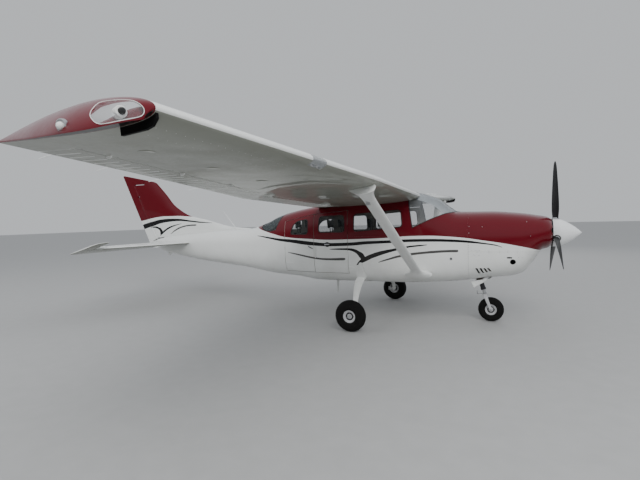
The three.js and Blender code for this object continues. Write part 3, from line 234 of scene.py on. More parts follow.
def makeBrushGroup():
    # brushed or turned metal: long fine scratches along X
    group, start, end = startGroup(
        "brushedMetal",
        [("Where", "NodeSocketVector", None), ("Scale", "NodeSocketFloat", 60.0)],
        [("Roughness", "NodeSocketFloat"), ("Height", "NodeSocketFloat")],
    )
    stretch = addNode(group, "ShaderNodeMapping", {"Vector": start.outputs["Where"], "Scale": (0.15, 6.0, 6.0)})
    lines = noise(group, stretch.outputs[0], start.outputs["Scale"], 4.0, 0.7)
    feedAll(group, end, {"Roughness": ramp(group, lines, 0.22, 0.48), "Height": lines})
    return group


def makeWeaveGroup():
    # crossed threads, at a given number of threads per metre
    group, start, end = startGroup(
        "clothWeave",
        [("Where", "NodeSocketVector", None), ("Threads", "NodeSocketFloat", 500.0)],
        [("Height", "NodeSocketFloat"), ("Shade", "NodeSocketFloat")],
    )
    turned = addNode(group, "ShaderNodeMapping", {"Vector": start.outputs["Where"], "Rotation": (0.6, 0.5, 0.3)})
    thread = {"Vector": turned.outputs[0], "Scale": start.outputs["Threads"]}
    waves = [addNode(group, "ShaderNodeTexWave", thread, bands_direction=way).outputs["Fac"] for way in ("X", "Y")]
    weave = calculate(group, "MULTIPLY", *waves)
    feedAll(group, end, {"Height": weave, "Shade": ramp(group, weave, 0.75, 1.1)})
    return group


dustGroup, grainGroup, brushGroup, weaveGroup = makeDustGroup(), makeGrainGroup(), makeBrushGroup(), makeWeaveGroup()

# The side paint scheme. Each row of a stroke is station, lower height and upper height.
paintScheme = {
    "white": rgb(0.80, 0.81, 0.79),
    "red": rgb(0.115, 0.002, 0.008),
    "stripe": rgb(0.005, 0.005, 0.006),
    "greyStripe": rgb(0.07, 0.068, 0.066),
    "redEdge": [  # station and height of the lower edge of the red
        (-1057, 1041), (-941, 1082), (-887, 1093), (-746, 1128), (-664, 1146), (-440, 1190), (-210, 1226), (26, 1262),
        (269, 1285), (520, 1297), (780, 1294), (1237, 1264), (1815, 1246), (2100, 1241), (2389, 1254), (2680, 1266),
        (2872, 1284), (2977, 1300), (3106, 1330), (3245, 1362), (3537, 1438), (3709, 1505), (3958, 1644), (4796, 1671),
        (5285, 1680), (5704, 1703), (5976, 1703), (6255, 1684), (6615, 1631), (7231, 1544),
    ],
    "strokes": [
        ("mainStripe", "stripe", [
            (-440, 1134, 1135), (-350, 1160, 1168), (-164, 1184, 1200), (26, 1200, 1227), (269, 1212, 1243), (520, 1215, 1249),
            (780, 1211, 1246), (1101, 1194, 1230), (1400, 1178, 1219), (1758, 1150, 1195), (2087, 1142, 1187),
            (2283, 1148, 1198), (2487, 1162, 1218), (2753, 1194, 1242), (2979, 1218, 1254), (3187, 1252, 1276),
            (3427, 1292, 1300), (3500, 1304, 1305)]),
        ("finStripe", "stripe", [
            (4789, 1545, 1546), (5086, 1557, 1575), (5340, 1581, 1605), (5627, 1601, 1641), (5868, 1591, 1647),
            (6097, 1566, 1638), (6345, 1510, 1600), (6552, 1464, 1562), (6707, 1421, 1525)]),
        ("sideHook", "stripe", [
            (1460, 968, 972), (1466, 960, 981), (1487, 908, 1016), (1509, 920, 1039), (1557, 979, 1062), (1623, 1046, 1093),
            (1714, 1079, 1107), (1852, 1086, 1106), (1997, 1089, 1098), (2050, 1092, 1093)]),
        ("sideRise", "stripe", [
            (540, 1166, 1168), (638, 1150, 1164), (776, 1133, 1152), (897, 1106, 1131), (1010, 1077, 1110),
            (1146, 1038, 1085), (1252, 1002, 1060), (1360, 962, 1025), (1459, 914, 983), (1538, 881, 937), (1598, 855, 870),
            (1610, 851, 852)]),
        ("sideLowRear", "greyStripe", [
            (1785, 942, 946), (1792, 936, 951), (1810, 925, 957), (1997, 920, 948), (2143, 921, 946), (2316, 934, 958),
            (2417, 949, 972), (2573, 977, 998), (2680, 998, 1014), (2794, 1021, 1028), (2830, 1029, 1030)]),
        ("sideLowFront", "greyStripe", [
            (118, 1080, 1084), (130, 1068, 1095), (270, 1064, 1092), (471, 1050, 1079), (620, 1036, 1063), (740, 1020, 1050),
            (940, 985, 1012), (1106, 941, 961), (1230, 908, 917), (1260, 900, 901)]),
        ("finHook", "stripe", [
            (6095, 1390, 1400), (6122, 1352, 1434), (6154, 1308, 1462), (6172, 1401, 1467), (6199, 1431, 1475),
            (6266, 1462, 1494), (6357, 1474, 1492), (6424, 1479, 1480)]),
        ("finRise", "stripe", [
            (5558, 1544, 1545), (5715, 1508, 1522), (5907, 1447, 1477), (6035, 1382, 1420), (6092, 1345, 1387),
            (6174, 1295, 1296)]),
        ("finMiddle", "greyStripe", [
            (5173, 1499, 1521), (5345, 1496, 1516), (5561, 1462, 1484), (5720, 1406, 1430), (5872, 1332, 1335)]),
        ("finLow", "greyStripe", [(6007, 1260, 1276), (6223, 1226, 1246), (6383, 1188, 1190)]),
    ],
}


def heightCurve(tree, along, rows, low, high):
    # a height for each station, as a curve node; rows are station and height
    first, last = rows[0][0], rows[-1][0]
    node = addNode(tree, "ShaderNodeFloatCurve")
    curve = node.mapping.curves[0]
    places = [((station - first) / (last - first), (height - low) / (high - low)) for station, height in rows]
    while len(curve.points) < len(places):
        curve.points.new(0.5, 0.5)
    for point, place in zip(curve.points, places):
        point.location = place
        point.handle_type = "AUTO_CLAMPED"
    node.mapping.update()
    feed(tree, node.inputs["Value"], ramp(tree, along, 0.0, 1.0, first, last))
    return ramp(tree, node.outputs[0], low, high)


def makeSchemeGroup():
    group, start, end = startGroup(
        "sideScheme", [("Where", "NodeSocketVector", None)], [("Colour", "NodeSocketColor"), ("Stripe", "NodeSocketFloat")]
    )
    split = splitPlace(group, start.outputs["Where"])
    along = calculate(group, "SUBTRACT", firewallX, calculate(group, "MULTIPLY", split["X"], 1000.0))
    height = calculate(group, "MULTIPLY", split["Z"], 1000.0)
    edge = heightCurve(group, along, paintScheme["redEdge"], 1000, 1800)
    colour = mixColour(group, calculate(group, "GREATER_THAN", height, edge), paintScheme["white"], paintScheme["red"])
    stripes = 0.0
    for name, tone, rows in paintScheme["strokes"]:
        low, high = min(row[1] for row in rows) - 5, max(row[2] for row in rows) + 5
        under = heightCurve(group, along, [(row[0], row[1] - 3) for row in rows], low, high)
        over = heightCurve(group, along, [(row[0], row[2] + 3) for row in rows], low, high)
        inside, ends = (
            calculate(group, "MULTIPLY", calculate(group, "GREATER_THAN", value, first), calculate(group, "LESS_THAN", value, last))
            for value, first, last in ((height, under, over), (along, rows[0][0], rows[-1][0]))
        )
        stroke = calculate(group, "MULTIPLY", inside, ends)
        colour = mixColour(group, stroke, colour, paintScheme[tone])
        stripes = calculate(group, "MAXIMUM", stripes, stroke)
    feedAll(group, end, {"Colour": colour, "Stripe": stripes})
    return group


schemeGroup = makeSchemeGroup()

paintSettings = {"coat": 0.5, "coatRoughness": 0.03, "roughness": 0.26, "peel": 0.012, "sheetScale": 2.6,
                 "dirt": rgb(0.20, 0.18, 0.14)}


def paintMaterial(name, colour, dirtAmount=0.25, dirtLow=0.5, dirtHigh=1.3, wave=0.0):
    # gloss paint with faint orange peel and thin dirt; colour may be a function of the tree and place
    # wave is the depth in metres of the slow unevenness of thin sheet
    gloss = {"Coat Weight": paintSettings["coat"], "Coat Roughness": paintSettings["coatRoughness"], "Specular IOR Level": 0.1}
    material, tree, shader, where = startMaterial(name, **gloss)
    base = colour(tree, where) if callable(colour) else colour
    dust = useGroup(tree, dustGroup, Where=where, Scale=2.2, Amount=dirtAmount, Low=dirtLow, High=dirtHigh)
    tinted = mixColour(tree, dust.outputs["Mask"], base, paintSettings["dirt"])
    rough = calculate(tree, "ADD", dust.outputs["Gloss Loss"], paintSettings["roughness"])
    grain = useGroup(tree, grainGroup, Where=where, Scale=60.0, Contrast=0.1)
    bump = addBump(tree, grain.outputs["Height"], 0.002, paintSettings["peel"])
    if wave:
        bump = addBump(tree, noise(tree, where, paintSettings["sheetScale"], 1.0), wave, normal=bump)
    feedAll(tree, shader, {"Base Color": tinted, "Roughness": rough, "Normal": bump})
    return material


def grainMaterial(name, colour, roughness, scale, contrast, bumpStrength, metallic=0.0, specular=0.5):
    material, tree, shader, where = startMaterial(name, **{"Metallic": metallic, "Specular IOR Level": specular})
    grain = useGroup(tree, grainGroup, Where=where, Scale=scale, Contrast=contrast)
    height, shaded = grain.outputs["Height"], mixColour(tree, 1.0, colour, grain.outputs["Shade"], "MULTIPLY")
    rough = ramp(tree, height, roughness * 0.8, min(roughness * 1.2, 1.0))
    feedAll(tree, shader, {"Base Color": shaded, "Roughness": rough, "Normal": addBump(tree, height, 0.001, bumpStrength)})
    return material


def metalMaterial(name, colour, scale=60.0):
    material, tree, shader, where = startMaterial(name, Metallic=1.0)
    brush = useGroup(tree, brushGroup, Where=where, Scale=scale)
    dust = useGroup(tree, dustGroup, Where=where, Scale=14.0, Amount=0.35, Low=0.0, High=1.0)
    grimy = mixColour(tree, dust.outputs["Mask"], colour, rgb(0.12, 0.10, 0.08))
    bump = addBump(tree, brush.outputs["Height"], 0.0005, 0.05)
    feedAll(tree, shader, {"Base Color": grimy, "Roughness": brush.outputs["Roughness"], "Normal": bump})
    return material


def glassMaterial(name, colour, clear, rough=0.02):
    # thin clear sheet: see-through face on, with gloss that grows at a glance
    material, tree, shader, where = startMaterial(name, **{"Roughness": rough, "IOR": 1.49, "Specular IOR Level": 0.8})
    haze = useGroup(tree, grainGroup, Where=where, Scale=5.0, Contrast=0.12)
    feed(tree, shader.inputs["Base Color"], mixColour(tree, 1.0, colour, haze.outputs["Shade"], "MULTIPLY"))
    glance = addNode(tree, "ShaderNodeLayerWeight", {"Blend": 0.25})
    feed(tree, shader.inputs["Alpha"], ramp(tree, glance.outputs["Fresnel"], 1.0 - clear, 0.9))
    return material


def clothMaterial(name, colour, threads):
    material, tree, shader, where = startMaterial(name, **{"Sheen Weight": 0.35, "Roughness": 0.9})
    weave = useGroup(tree, weaveGroup, Where=where, Threads=threads)
    worn = noise(tree, where, 6.0, 4.0)
    shade = mixColour(tree, ramp(tree, worn, 0.0, 0.35, 0.4, 0.7), colour, rgb(*(min(c * 1.7, 1) for c in colour[:3])))
    grey = greyColour(tree, weave.outputs["Shade"])
    feed(tree, shader.inputs["Base Color"], mixColour(tree, 1.0, shade, grey, "MULTIPLY"))
    feed(tree, shader.inputs["Normal"], addBump(tree, weave.outputs["Height"], 0.0006, 0.3))
    return material


def schemeColour(tree, where):
    return useGroup(tree, schemeGroup, Where=where).outputs["Colour"]


print("materials")
sidePaint = paintMaterial("sidePaint", schemeColour, 0.30)
whitePaint = paintMaterial("whitePaint", paintScheme["white"], 0.16, 0.3, 2.4)
gearPaint = paintMaterial("gearPaint", rgb(0.84, 0.85, 0.83), 0.4, 0.1, 0.9)
tipPaint = paintMaterial("tipPaint", paintScheme["red"], 0.05)
# painted shade: near-black for a plate that stands for the shaded inner face of the wing tip's lower lip
shadeWedgeBlack = grainMaterial("shadeWedgeBlack", rgb(0.006, 0.006, 0.006), 0.6, 60.0, 0.2, 0.03, specular=0.1)
# painted reflection: near-black standing for the dark ground mirrored in the wing tip's underside
tipUnderReflection = grainMaterial("tipUnderReflection", rgb(0.022, 0.022, 0.020), 0.3, 60.0, 0.3, 0.03, specular=0.35)
# painted shade: a dark olive white for faces that look down, standing for the shade under wings and tail, with thin
# dirt too
shadedUnderWhite = paintMaterial("shadedUnderWhite", rgb(0.27, 0.28, 0.24), 0.5, 1.2, 2.6, 0.03)
# near-black for dark parts, and painted shade where it stands for holes, gaps and the wheels' web openings
darkAndShade = grainMaterial("darkAndShade", rgb(0.02, 0.02, 0.02), 0.5, 200.0, 0.3, 0.1)
strutDark = grainMaterial("strutDark", rgb(0.05, 0.05, 0.055), 0.4, 200.0, 0.3, 0.1, metallic=0.4)
spinnerPaint = paintMaterial("spinnerPaint", rgb(0.82, 0.83, 0.83), 0.1)
bladeBlack = grainMaterial("bladeBlack", rgb(0.009, 0.009, 0.010), 0.42, 160.0, 0.3, 0.05, specular=0.3)
tyreRubber = grainMaterial("tyreRubber", rgb(0.010, 0.0095, 0.009), 0.85, 220.0, 0.5, 0.25, specular=0.25)
sealRubber = grainMaterial("sealRubber", rgb(0.020, 0.018, 0.018), 0.6, 300.0, 0.3, 0.1)
engineCast = grainMaterial("engineCast", rgb(0.20, 0.20, 0.20), 0.6, 140.0, 0.5, 0.4, metallic=0.6)
trimPlastic = grainMaterial("trimPlastic", rgb(0.55, 0.52, 0.47), 0.7, 500.0, 0.15, 0.2)
headCloth = grainMaterial("headCloth", rgb(0.68, 0.66, 0.62), 0.9, 700.0, 0.2, 0.2)
floorCarpet = grainMaterial("floorCarpet", rgb(0.07, 0.065, 0.06), 0.95, 900.0, 0.6, 0.8)
panelBlack = grainMaterial("panelBlack", rgb(0.025, 0.025, 0.027), 0.55, 600.0, 0.3, 0.25)
dialGrey = grainMaterial("dialGrey", rgb(0.10, 0.10, 0.11), 0.3, 200.0, 0.3, 0.05)
steelBright = metalMaterial("steelBright", rgb(0.62, 0.62, 0.63))
rimSilver = grainMaterial("rimSilver", rgb(0.62, 0.62, 0.63), 0.32, 90.0, 0.1, 0.04, metallic=0.25)
exhaustSteel = metalMaterial("exhaustSteel", rgb(0.23, 0.19, 0.16), 30.0)
windowGlass = glassMaterial("windowGlass", rgb(0.10, 0.12, 0.125), 0.93)
screenGlass = glassMaterial("screenGlass", rgb(0.42, 0.45, 0.47), 0.9)
clearLens = glassMaterial("clearLens", rgb(0.55, 0.57, 0.58), 0.94)
seatCloth = clothMaterial("seatCloth", rgb(0.045, 0.043, 0.045), 420.0)
lampWhite = grainMaterial("lampWhite", rgb(0.82, 0.82, 0.80), 0.35, 80.0, 0.1, 0.03)
stageGrey = grainMaterial("stageGrey", rgb(*stageSettings["floorColour"]), 0.85, 6.0, 0.06, 0.05)

floorData = bpy.data.meshes.new("stageFloor")
reach = stageSettings["floorSize"] / 2
floorData.from_pydata([(-reach, -reach, 0), (reach, -reach, 0), (reach, reach, 0), (-reach, reach, 0)], [], [(0, 1, 2, 3)])
floorData.materials.append(stageGrey)
stageFloor = newObject("stageFloor", floorData)

# Mesh helpers
def turnOutwards(piece, merge=1e-6):
    work = bmesh.new()
    work.from_mesh(piece.data)
    bmesh.ops.remove_doubles(work, verts=work.verts, dist=merge)
    bmesh.ops.recalc_face_normals(work, faces=work.faces)
    work.to_mesh(piece.data)
    work.free()


def makePiece(name, points, faces, finish=None):
    mesh = bpy.data.meshes.new(name)
    mesh.from_pydata([(p[0] / 1000, p[1] / 1000, p[2] / 1000) for p in points], [], faces)
    if finish:
        mesh.materials.append(finish)
    piece = newObject(name, mesh)
    turnOutwards(piece)
    return piece


def ringFaces(rings):
    # quads between rings, and one face that closes the first
    count, faces = len(rings[0]), []
    for r in range(len(rings) - 1):
        for i in range(count):
            a, b = r * count + i, r * count + (i + 1) % count
            faces.append((a, b, b + count, a + count))
    return faces + [tuple(range(count))]


def loft(name, rings, finish=None):
    count = len(rings[0])
    last = tuple(range((len(rings) - 1) * count, len(rings) * count))
    return makePiece(name, [point for ring in rings for point in ring], ringFaces(rings) + [last], finish)


def remove(piece):
    mesh = piece.data
    bpy.data.objects.remove(piece)
    bpy.data.meshes.remove(mesh)


def bake(piece):
    # the evaluated mesh takes the place of the modifiers
    bpy.context.view_layer.update()
    graph = bpy.context.evaluated_depsgraph_get()
    mesh = bpy.data.meshes.new_from_object(piece.evaluated_get(graph))
    piece.modifiers.clear()
    before = piece.data
    piece.data = mesh
    mesh.name = piece.name
    bpy.data.meshes.remove(before)
    return piece


def carve(piece, cutter, operation="DIFFERENCE"):
    modifier = piece.modifiers.new("carve", "BOOLEAN")
    modifier.object = cutter
    modifier.operation = operation
    modifier.solver = "MANIFOLD"
    bake(piece)
    remove(cutter)
    return piece


def keepInside(piece, cutter):
    return carve(piece, cutter, "INTERSECT")


def copyPiece(piece, name):
    twin = newObject(name, piece.data.copy())
    twin.data.name = name
    return twin


def mirrorPiece(piece, name):
    twin = copyPiece(piece, name)
    twin.data.transform(Matrix.Diagonal((1, -1, 1, 1)))
    twin.data.flip_normals()
    return twin


def smooth(piece, angle=34, weighted=True):
    piece.data.shade_smooth()
    piece.data.set_sharp_from_angle(angle=math.radians(angle))
    if weighted:
        modifier = piece.modifiers.new("evenNormals", "WEIGHTED_NORMAL")
        modifier.keep_sharp = True
        bake(piece)
    return piece


def join(name, pieces, finish=None):
    # several closed meshes kept as shells of one object
    work = bmesh.new()
    for piece in pieces:
        work.from_mesh(piece.data)
        remove(piece)
    mesh = bpy.data.meshes.new(name)
    work.to_mesh(mesh)
    work.free()
    if finish:
        mesh.materials.append(finish)
    return newObject(name, mesh)


def box(name, low, high, finish=None):
    (x0, y0, z0), (x1, y1, z1) = low, high
    points = [(x, y, z) for x in (x0, x1) for y in (y0, y1) for z in (z0, z1)]
    return makePiece(name, points, [(0, 1, 3, 2), (4, 6, 7, 5), (0, 4, 5, 1), (2, 3, 7, 6), (0, 2, 6, 4), (1, 5, 7, 3)], finish)


def sidePrism(name, outline, y0, y1, finish=None):
    return loft(name, [[(xAt(station), y, height) for station, height in outline] for y in (y0, y1)], finish)


def planPrism(name, outline, z0, z1):
    return loft(name, [[(xAt(station), y, height) for station, y in outline] for height in (z0, z1)])


def tube(name, path, radius, sides=16, finish=None):
    # a round bar along points, with a radius for all or one for each
    points = [Vector(point) for point in path]
    radii = radius if isinstance(radius, (list, tuple)) else [radius] * len(points)
    rings = []
    side = None
    for i, point in enumerate(points):
        along = (points[min(i + 1, len(points) - 1)] - points[max(i - 1, 0)]).normalized()
        if side is None:
            side = along.orthogonal().normalized()
        side = (side - along * side.dot(along)).normalized()
        other = along.cross(side)
        rings.append([point + (side * math.cos(angle) + other * math.sin(angle)) * radii[i] for angle in turns(sides)])
    return loft(name, rings, finish)


def lathe(name, profile, middle, axis="Y", segments=64, finish=None):
    # profile rows are radius and place along the axis; the ends close on themselves
    turned = {"X": lambda r, a, c, s: (a, r * c, r * s), "Y": lambda r, a, c, s: (r * s, a, r * c)}[axis]
    points, faces = [], []
    rows = len(profile)
    for angle in turns(segments):
        for radius, place in profile:
            offset = turned(radius, place, math.cos(angle), math.sin(angle))
            points.append([middle[i] + offset[i] for i in range(3)])
    for k in range(segments):
        after = (k + 1) % segments
        for i in range(rows):
            j = (i + 1) % rows
            faces.append((k * rows + i, k * rows + j, after * rows + j, after * rows + i))
    return makePiece(name, points, faces, finish)


def roundOutline(outline, inset=0.0, radius=0.0, steps=7):
    points = [Vector(point) for point in outline]
    area = sum(a.x * b.y - b.x * a.y for a, b in zip(points, points[1:] + points[:1]))
    inward = 1 if area > 0 else -1
    moved = []
    for i, point in enumerate(points):
        one = (point - points[i - 1]).normalized()
        two = (points[(i + 1) % len(points)] - point).normalized()
        first = Vector((-one.y, one.x)) * inward
        second = Vector((-two.y, two.x)) * inward
        moved.append(point + (first + second) * (inset / (1 + first.dot(second))))
    if not radius:
        return [tuple(point) for point in moved]
    result = []
    for i, point in enumerate(moved):
        back, ahead = moved[i - 1] - point, moved[(i + 1) % len(moved)] - point
        span = min(radius - inset, back.length * 0.45, ahead.length * 0.45)
        start, end = point + back.normalized() * span, point + ahead.normalized() * span
        for k in range(steps + 1):
            t = k / steps
            result.append(tuple(start * (1 - t) ** 2 + point * 2 * t * (1 - t) + end * t * t))
    return result


def smoothRows(table, places):
    # smooth curves through a table's rows that never overshoot them
    rows = np.array(table, float)
    places = np.array(places, float)
    x, gaps = rows[:, 0], np.diff(rows[:, 0])
    k = np.clip(np.searchsorted(x, places, side="right") - 1, 0, len(gaps) - 1)
    t = (places - x[k]) / gaps[k]
    columns = [places]
    for column in range(1, rows.shape[1]):
        y = rows[:, column]
        slope = np.diff(y) / gaps
        lean = np.zeros(len(x))
        lean[0], lean[-1] = slope[0], slope[-1]
        for i in range(1, len(x) - 1):
            if slope[i - 1] * slope[i] > 0:
                a, b = 2 * gaps[i] + gaps[i - 1], gaps[i] + 2 * gaps[i - 1]
                lean[i] = (a + b) / (a / slope[i - 1] + b / slope[i])
        start = y[k] * (1 + 2 * t) * (1 - t) ** 2 + lean[k] * gaps[k] * t * (1 - t) ** 2
        columns.append(start + y[k + 1] * t * t * (3 - 2 * t) + lean[k + 1] * gaps[k] * t * t * (t - 1))
    return np.stack(columns, 1)


# Geometry Nodes for what repeats
def geometryTree(name, inputs):
    inputs = [("Geometry", "NodeSocketGeometry", None), *inputs, ("Finish", "NodeSocketMaterial", None)]
    return startGroup(name, inputs, [("Geometry", "NodeSocketGeometry")], "GeometryNodeTree")


def endTree(tree, start, end, geometry):
    # real geometry in the finish that was asked for
    real = addNode(tree, "GeometryNodeRealizeInstances", {"Geometry": geometry})
    layer = {"Geometry": real.outputs["Geometry"], "Material": start.outputs["Finish"]}
    feed(tree, end.inputs["Geometry"], addNode(tree, "GeometryNodeSetMaterial", layer).outputs["Geometry"])
    return tree


def makeHeadTree():
    # one low head on each point, turned to the point's facing, such as a rivet or a screw
    tree, start, end = geometryTree(
        "fastenerHeads",
        [("Head Radius", "NodeSocketFloat", 0.004), ("Head Height", "NodeSocketFloat", 0.001), ("Sides", "NodeSocketInt", 8),
         ("Taper", "NodeSocketFloat", 0.6)],
    )
    given = start.outputs
    size = {"Vertices": given["Sides"], "Radius Top": calculate(tree, "MULTIPLY", given["Head Radius"], given["Taper"]),
            "Radius Bottom": given["Head Radius"], "Depth": calculate(tree, "MULTIPLY", given["Head Height"], 2.0)}
    head = addNode(tree, "GeometryNodeMeshCone", size, fill_type="NGON")
    drop = addNode(tree, "ShaderNodeCombineXYZ", {"Z": calculate(tree, "MULTIPLY", given["Head Height"], -1.0)})
    lower = addNode(tree, "GeometryNodeTransform", {"Geometry": head.outputs["Mesh"], "Translation": drop.outputs[0]})
    facing = addNode(tree, "GeometryNodeInputNamedAttribute", data_type="FLOAT_VECTOR")
    facing.inputs["Name"].default_value = "facing"
    turn = addNode(tree, "FunctionNodeAlignRotationToVector", {"Vector": facing.outputs["Attribute"]}, axis="Z")
    copies = {"Points": given["Geometry"], "Instance": lower.outputs["Geometry"], "Rotation": turn.outputs["Rotation"]}
    return endTree(tree, start, end, addNode(tree, "GeometryNodeInstanceOnPoints", copies).outputs["Instances"])


def makeBeadTree():
    # a round bar along each line of edges, such as a pressed bead, a wire or a hinge pin
    tree, start, end = geometryTree("beadLines", [("Bead Radius", "NodeSocketFloat", 0.003), ("Sides", "NodeSocketInt", 6)])
    path = addNode(tree, "GeometryNodeMeshToCurve", {"Mesh": start.outputs["Geometry"]})
    size = {"Resolution": start.outputs["Sides"], "Radius": start.outputs["Bead Radius"]}
    profile = addNode(tree, "GeometryNodeCurvePrimitiveCircle", size)
    shape = {"Curve": path.outputs["Curve"], "Profile Curve": profile.outputs["Curve"], "Fill Caps": True}
    sweep = addNode(tree, "GeometryNodeCurveToMesh", shape)
    return endTree(tree, start, end, sweep.outputs["Mesh"])


headTree, beadTree = makeHeadTree(), makeBeadTree()


def growNodes(piece, tree, values):
    modifier = piece.modifiers.new(tree.name, "NODES")
    modifier.node_group = tree
    for item in tree.interface.items_tree:
        if item.item_type == "SOCKET" and item.in_out == "INPUT" and item.name in values:
            modifier[item.identifier] = values[item.name]
    bake(piece)
    return piece


def placeHeads(name, spots, finish, radius=3.2, height=0.9, sides=7, taper=0.6):
    # spots are pairs of place and facing, in millimetres
    mesh = bpy.data.meshes.new(name)
    mesh.from_pydata([tuple(Vector(place) / 1000) for place, facing in spots], [], [])
    facings = mesh.attributes.new("facing", "FLOAT_VECTOR", "POINT")
    facings.data.foreach_set("vector", [value for place, facing in spots for value in facing])
    values = {"Head Radius": radius / 1000, "Head Height": height / 1000, "Sides": sides, "Taper": taper, "Finish": finish}
    return growNodes(newObject(name, mesh), headTree, values)


def placeBeads(name, lines, finish, radius=3.0, sides=6):
    points, edges = [], []
    for line in lines:
        edges += [(len(points) + i, len(points) + i + 1) for i in range(len(line) - 1)]
        points += [tuple(Vector(point) / 1000) for point in line]
    mesh = bpy.data.meshes.new(name)
    mesh.from_pydata(points, edges, [])
    values = {"Bead Radius": radius / 1000, "Sides": sides, "Finish": finish}
    piece = growNodes(newObject(name, mesh), beadTree, values)
    piece.data.shade_smooth()
    return piece


finished = []


def paintShadeUnder(piece, under, limit=-0.25):
    # painted shade: faces that look down get the second, darker material, for the shade under the part
    piece.data.materials.append(under)
    for polygon in piece.data.polygons:
        polygon.material_index = 1 if polygon.normal.z < limit else 0


def coat(piece, material):
    # one material all over, in place of the slots that cutting leaves
    piece.data.materials.clear()
    piece.data.materials.append(material)
    piece.data.polygons.foreach_set("material_index", [0] * len(piece.data.polygons))
    return piece


def finish(piece, body, slot, *nodes):
    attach(piece, body)
    if nodes:
        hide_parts(*nodes)
    finished.append(piece)
    return piece


# Fuselage sections: station, bottom, top, height and half width of the widest line, powers above and below it
bodyTable = [
    (-1045, 1130, 1503, 1300, 345, 2.5, 2.3), (-1000, 1098, 1530, 1290, 405, 2.6, 2.4), (-930, 1078, 1547, 1275, 445, 2.7, 2.4),
    (-860, 955, 1560, 1250, 462, 2.7, 2.4), (-780, 850, 1575, 1220, 474, 2.7, 2.5), (-700, 757, 1587, 1190, 484, 2.7, 2.7),
    (-580, 712, 1601, 1170, 497, 2.7, 2.9), (-312, 677, 1624, 1150, 520, 2.7, 3.2), (0, 636, 1629, 1150, 545, 2.7, 3.5),
    (160, 614, 1634, 1160, 557, 2.7, 3.6), (300, 602, 1718, 1165, 566, 2.7, 3.7), (450, 592, 1838, 1170, 575, 2.9, 3.8),
    (600, 580, 1903, 1180, 582, 3.2, 3.9), (760, 570, 1945, 1190, 588, 3.7, 4), (1000, 562, 1984, 1200, 592, 4, 4),
    (1250, 559, 1984, 1200, 594, 4, 4), (1500, 556, 1958, 1200, 594, 4, 4), (2000, 550, 1865, 1195, 588, 4, 4),
    (2345, 549, 1800, 1180, 572, 4, 4), (2750, 598, 1737, 1150, 540, 3.7, 3.8), (3143, 617, 1646, 1120, 490, 3.3, 3.5),
    (3350, 635, 1560, 1105, 455, 3.1, 3.3), (3650, 676, 1462, 1095, 405, 2.9, 3.1), (3884, 709, 1420, 1095, 372, 2.8, 3),
    (4237, 741, 1408, 1100, 322, 2.6, 2.8), (4877, 800, 1375, 1115, 250, 2.5, 2.7), (5405, 868, 1335, 1130, 190, 2.4, 2.6),
    (6021, 985, 1285, 1155, 112, 2.3, 2.4), (6190, 1035, 1262, 1165, 84, 2.2, 2.2),
]
bodySettings = {"around": 80, "spacing": 55, "cabinWall": 30, "cowlWall": 10, "tailWall": 8, "belt": 1290, "floor": 700,
                "cabinBack": 3650, "tailEnd": 6190, "cowlSplit": 1072, "doorGap": 6, "windowCorner": 60, "paneSpacing": 30}
hingeSettings = {"grooveRadius": 5.0, "grooveOut": 0.5, "knuckleRadius": 8.5, "knuckleIn": 2, "moving": [(-30, 30)],
                 "fixed": [(-66.3, -30.3), (30.3, 66.3)]}


def bodyRing(row, inset, count):
    # a superellipse with its points evenly spaced in each quarter
    station, bottom, top, mid, half, upper, lower = row
    ring = []
    for quarter in range(4):
        angles = np.linspace(quarter, quarter + 1, 90) * math.pi / 2
        across, rise = np.cos(angles), np.sin(angles)
        power = 2 / (upper if quarter < 2 else lower)
        reach = (top - mid if quarter < 2 else mid - bottom) - inset
        y = (half - inset) * np.sign(across) * np.abs(across) ** power
        z = mid + reach * np.sign(rise) * np.abs(rise) ** power
        run = np.concatenate([[0], np.cumsum(np.hypot(np.diff(y), np.diff(z)))])
        spots = np.linspace(0, run[-1], count // 4 + 1)[:-1]
        ring += [(xAt(station), a, b) for a, b in zip(np.interp(spots, run, y), np.interp(spots, run, z))]
    return ring


def hull(name, start, end, inset=0.0, spacing=None):
    # the fuselage's form between two stations, with rings on the table's stations and between them
    spacing = spacing or bodySettings["spacing"]
    marks = sorted({start, end, *[row[0] for row in bodyTable if start < row[0] < end]})
    places = [marks[0]]
    for a, b in zip(marks, marks[1:]):
        steps = max(1, round((b - a) / spacing))
        places += [a + (b - a) * k / steps for k in range(1, steps + 1)]
    rows = smoothRows(bodyTable, places)
    return loft(name, [bodyRing(row, inset, bodySettings["around"]) for row in rows])


def treeOf(piece):
    mesh = piece.data
    return BVHTree.FromPolygons([v.co.copy() for v in mesh.vertices], [tuple(p.vertices) for p in mesh.polygons])


outerHull = hull("outerHull", -1045, bodySettings["tailEnd"])
outerTree = treeOf(outerHull)
remove(outerHull)


def skinPoint(x, z, side, lift=0.0):
    # where a level line from the side meets the fuselage, and the skin's facing there
    place, facing, *_ = outerTree.ray_cast(Vector((x / 1000, side * 3, z / 1000)), Vector((0, -side, 0)))
    if place is None:
        return None
    if facing.y * side < 0:
        facing = -facing
    return place * 1000 + facing * lift, facing


def skinPatch(name, outline, side, lift, material, sink=2.0):
    # a thin plate that follows the skin; outline rows are station and height
    low, high = [], []
    for station, height in outline:
        spot, facing = skinPoint(xAt(station), height, side)
        low.append(spot - facing * sink)
        high.append(spot + facing * lift)
    return loft(name, [low, high], material)


def ovalOutline(station, height, half, tall, count=28):
    return [(station + half * math.cos(turn), height + tall * math.sin(turn)) for turn in turns(count)]


def closedOutline(corners, steps):
    # points along straight sides, back to the start
    rows = []
    for (a, b), (c, d) in zip(corners, corners[1:] + corners[:1]):
        rows += [(a + (c - a) * k / steps, b + (d - b) * k / steps) for k in range(steps)]
    return rows + corners[:1]


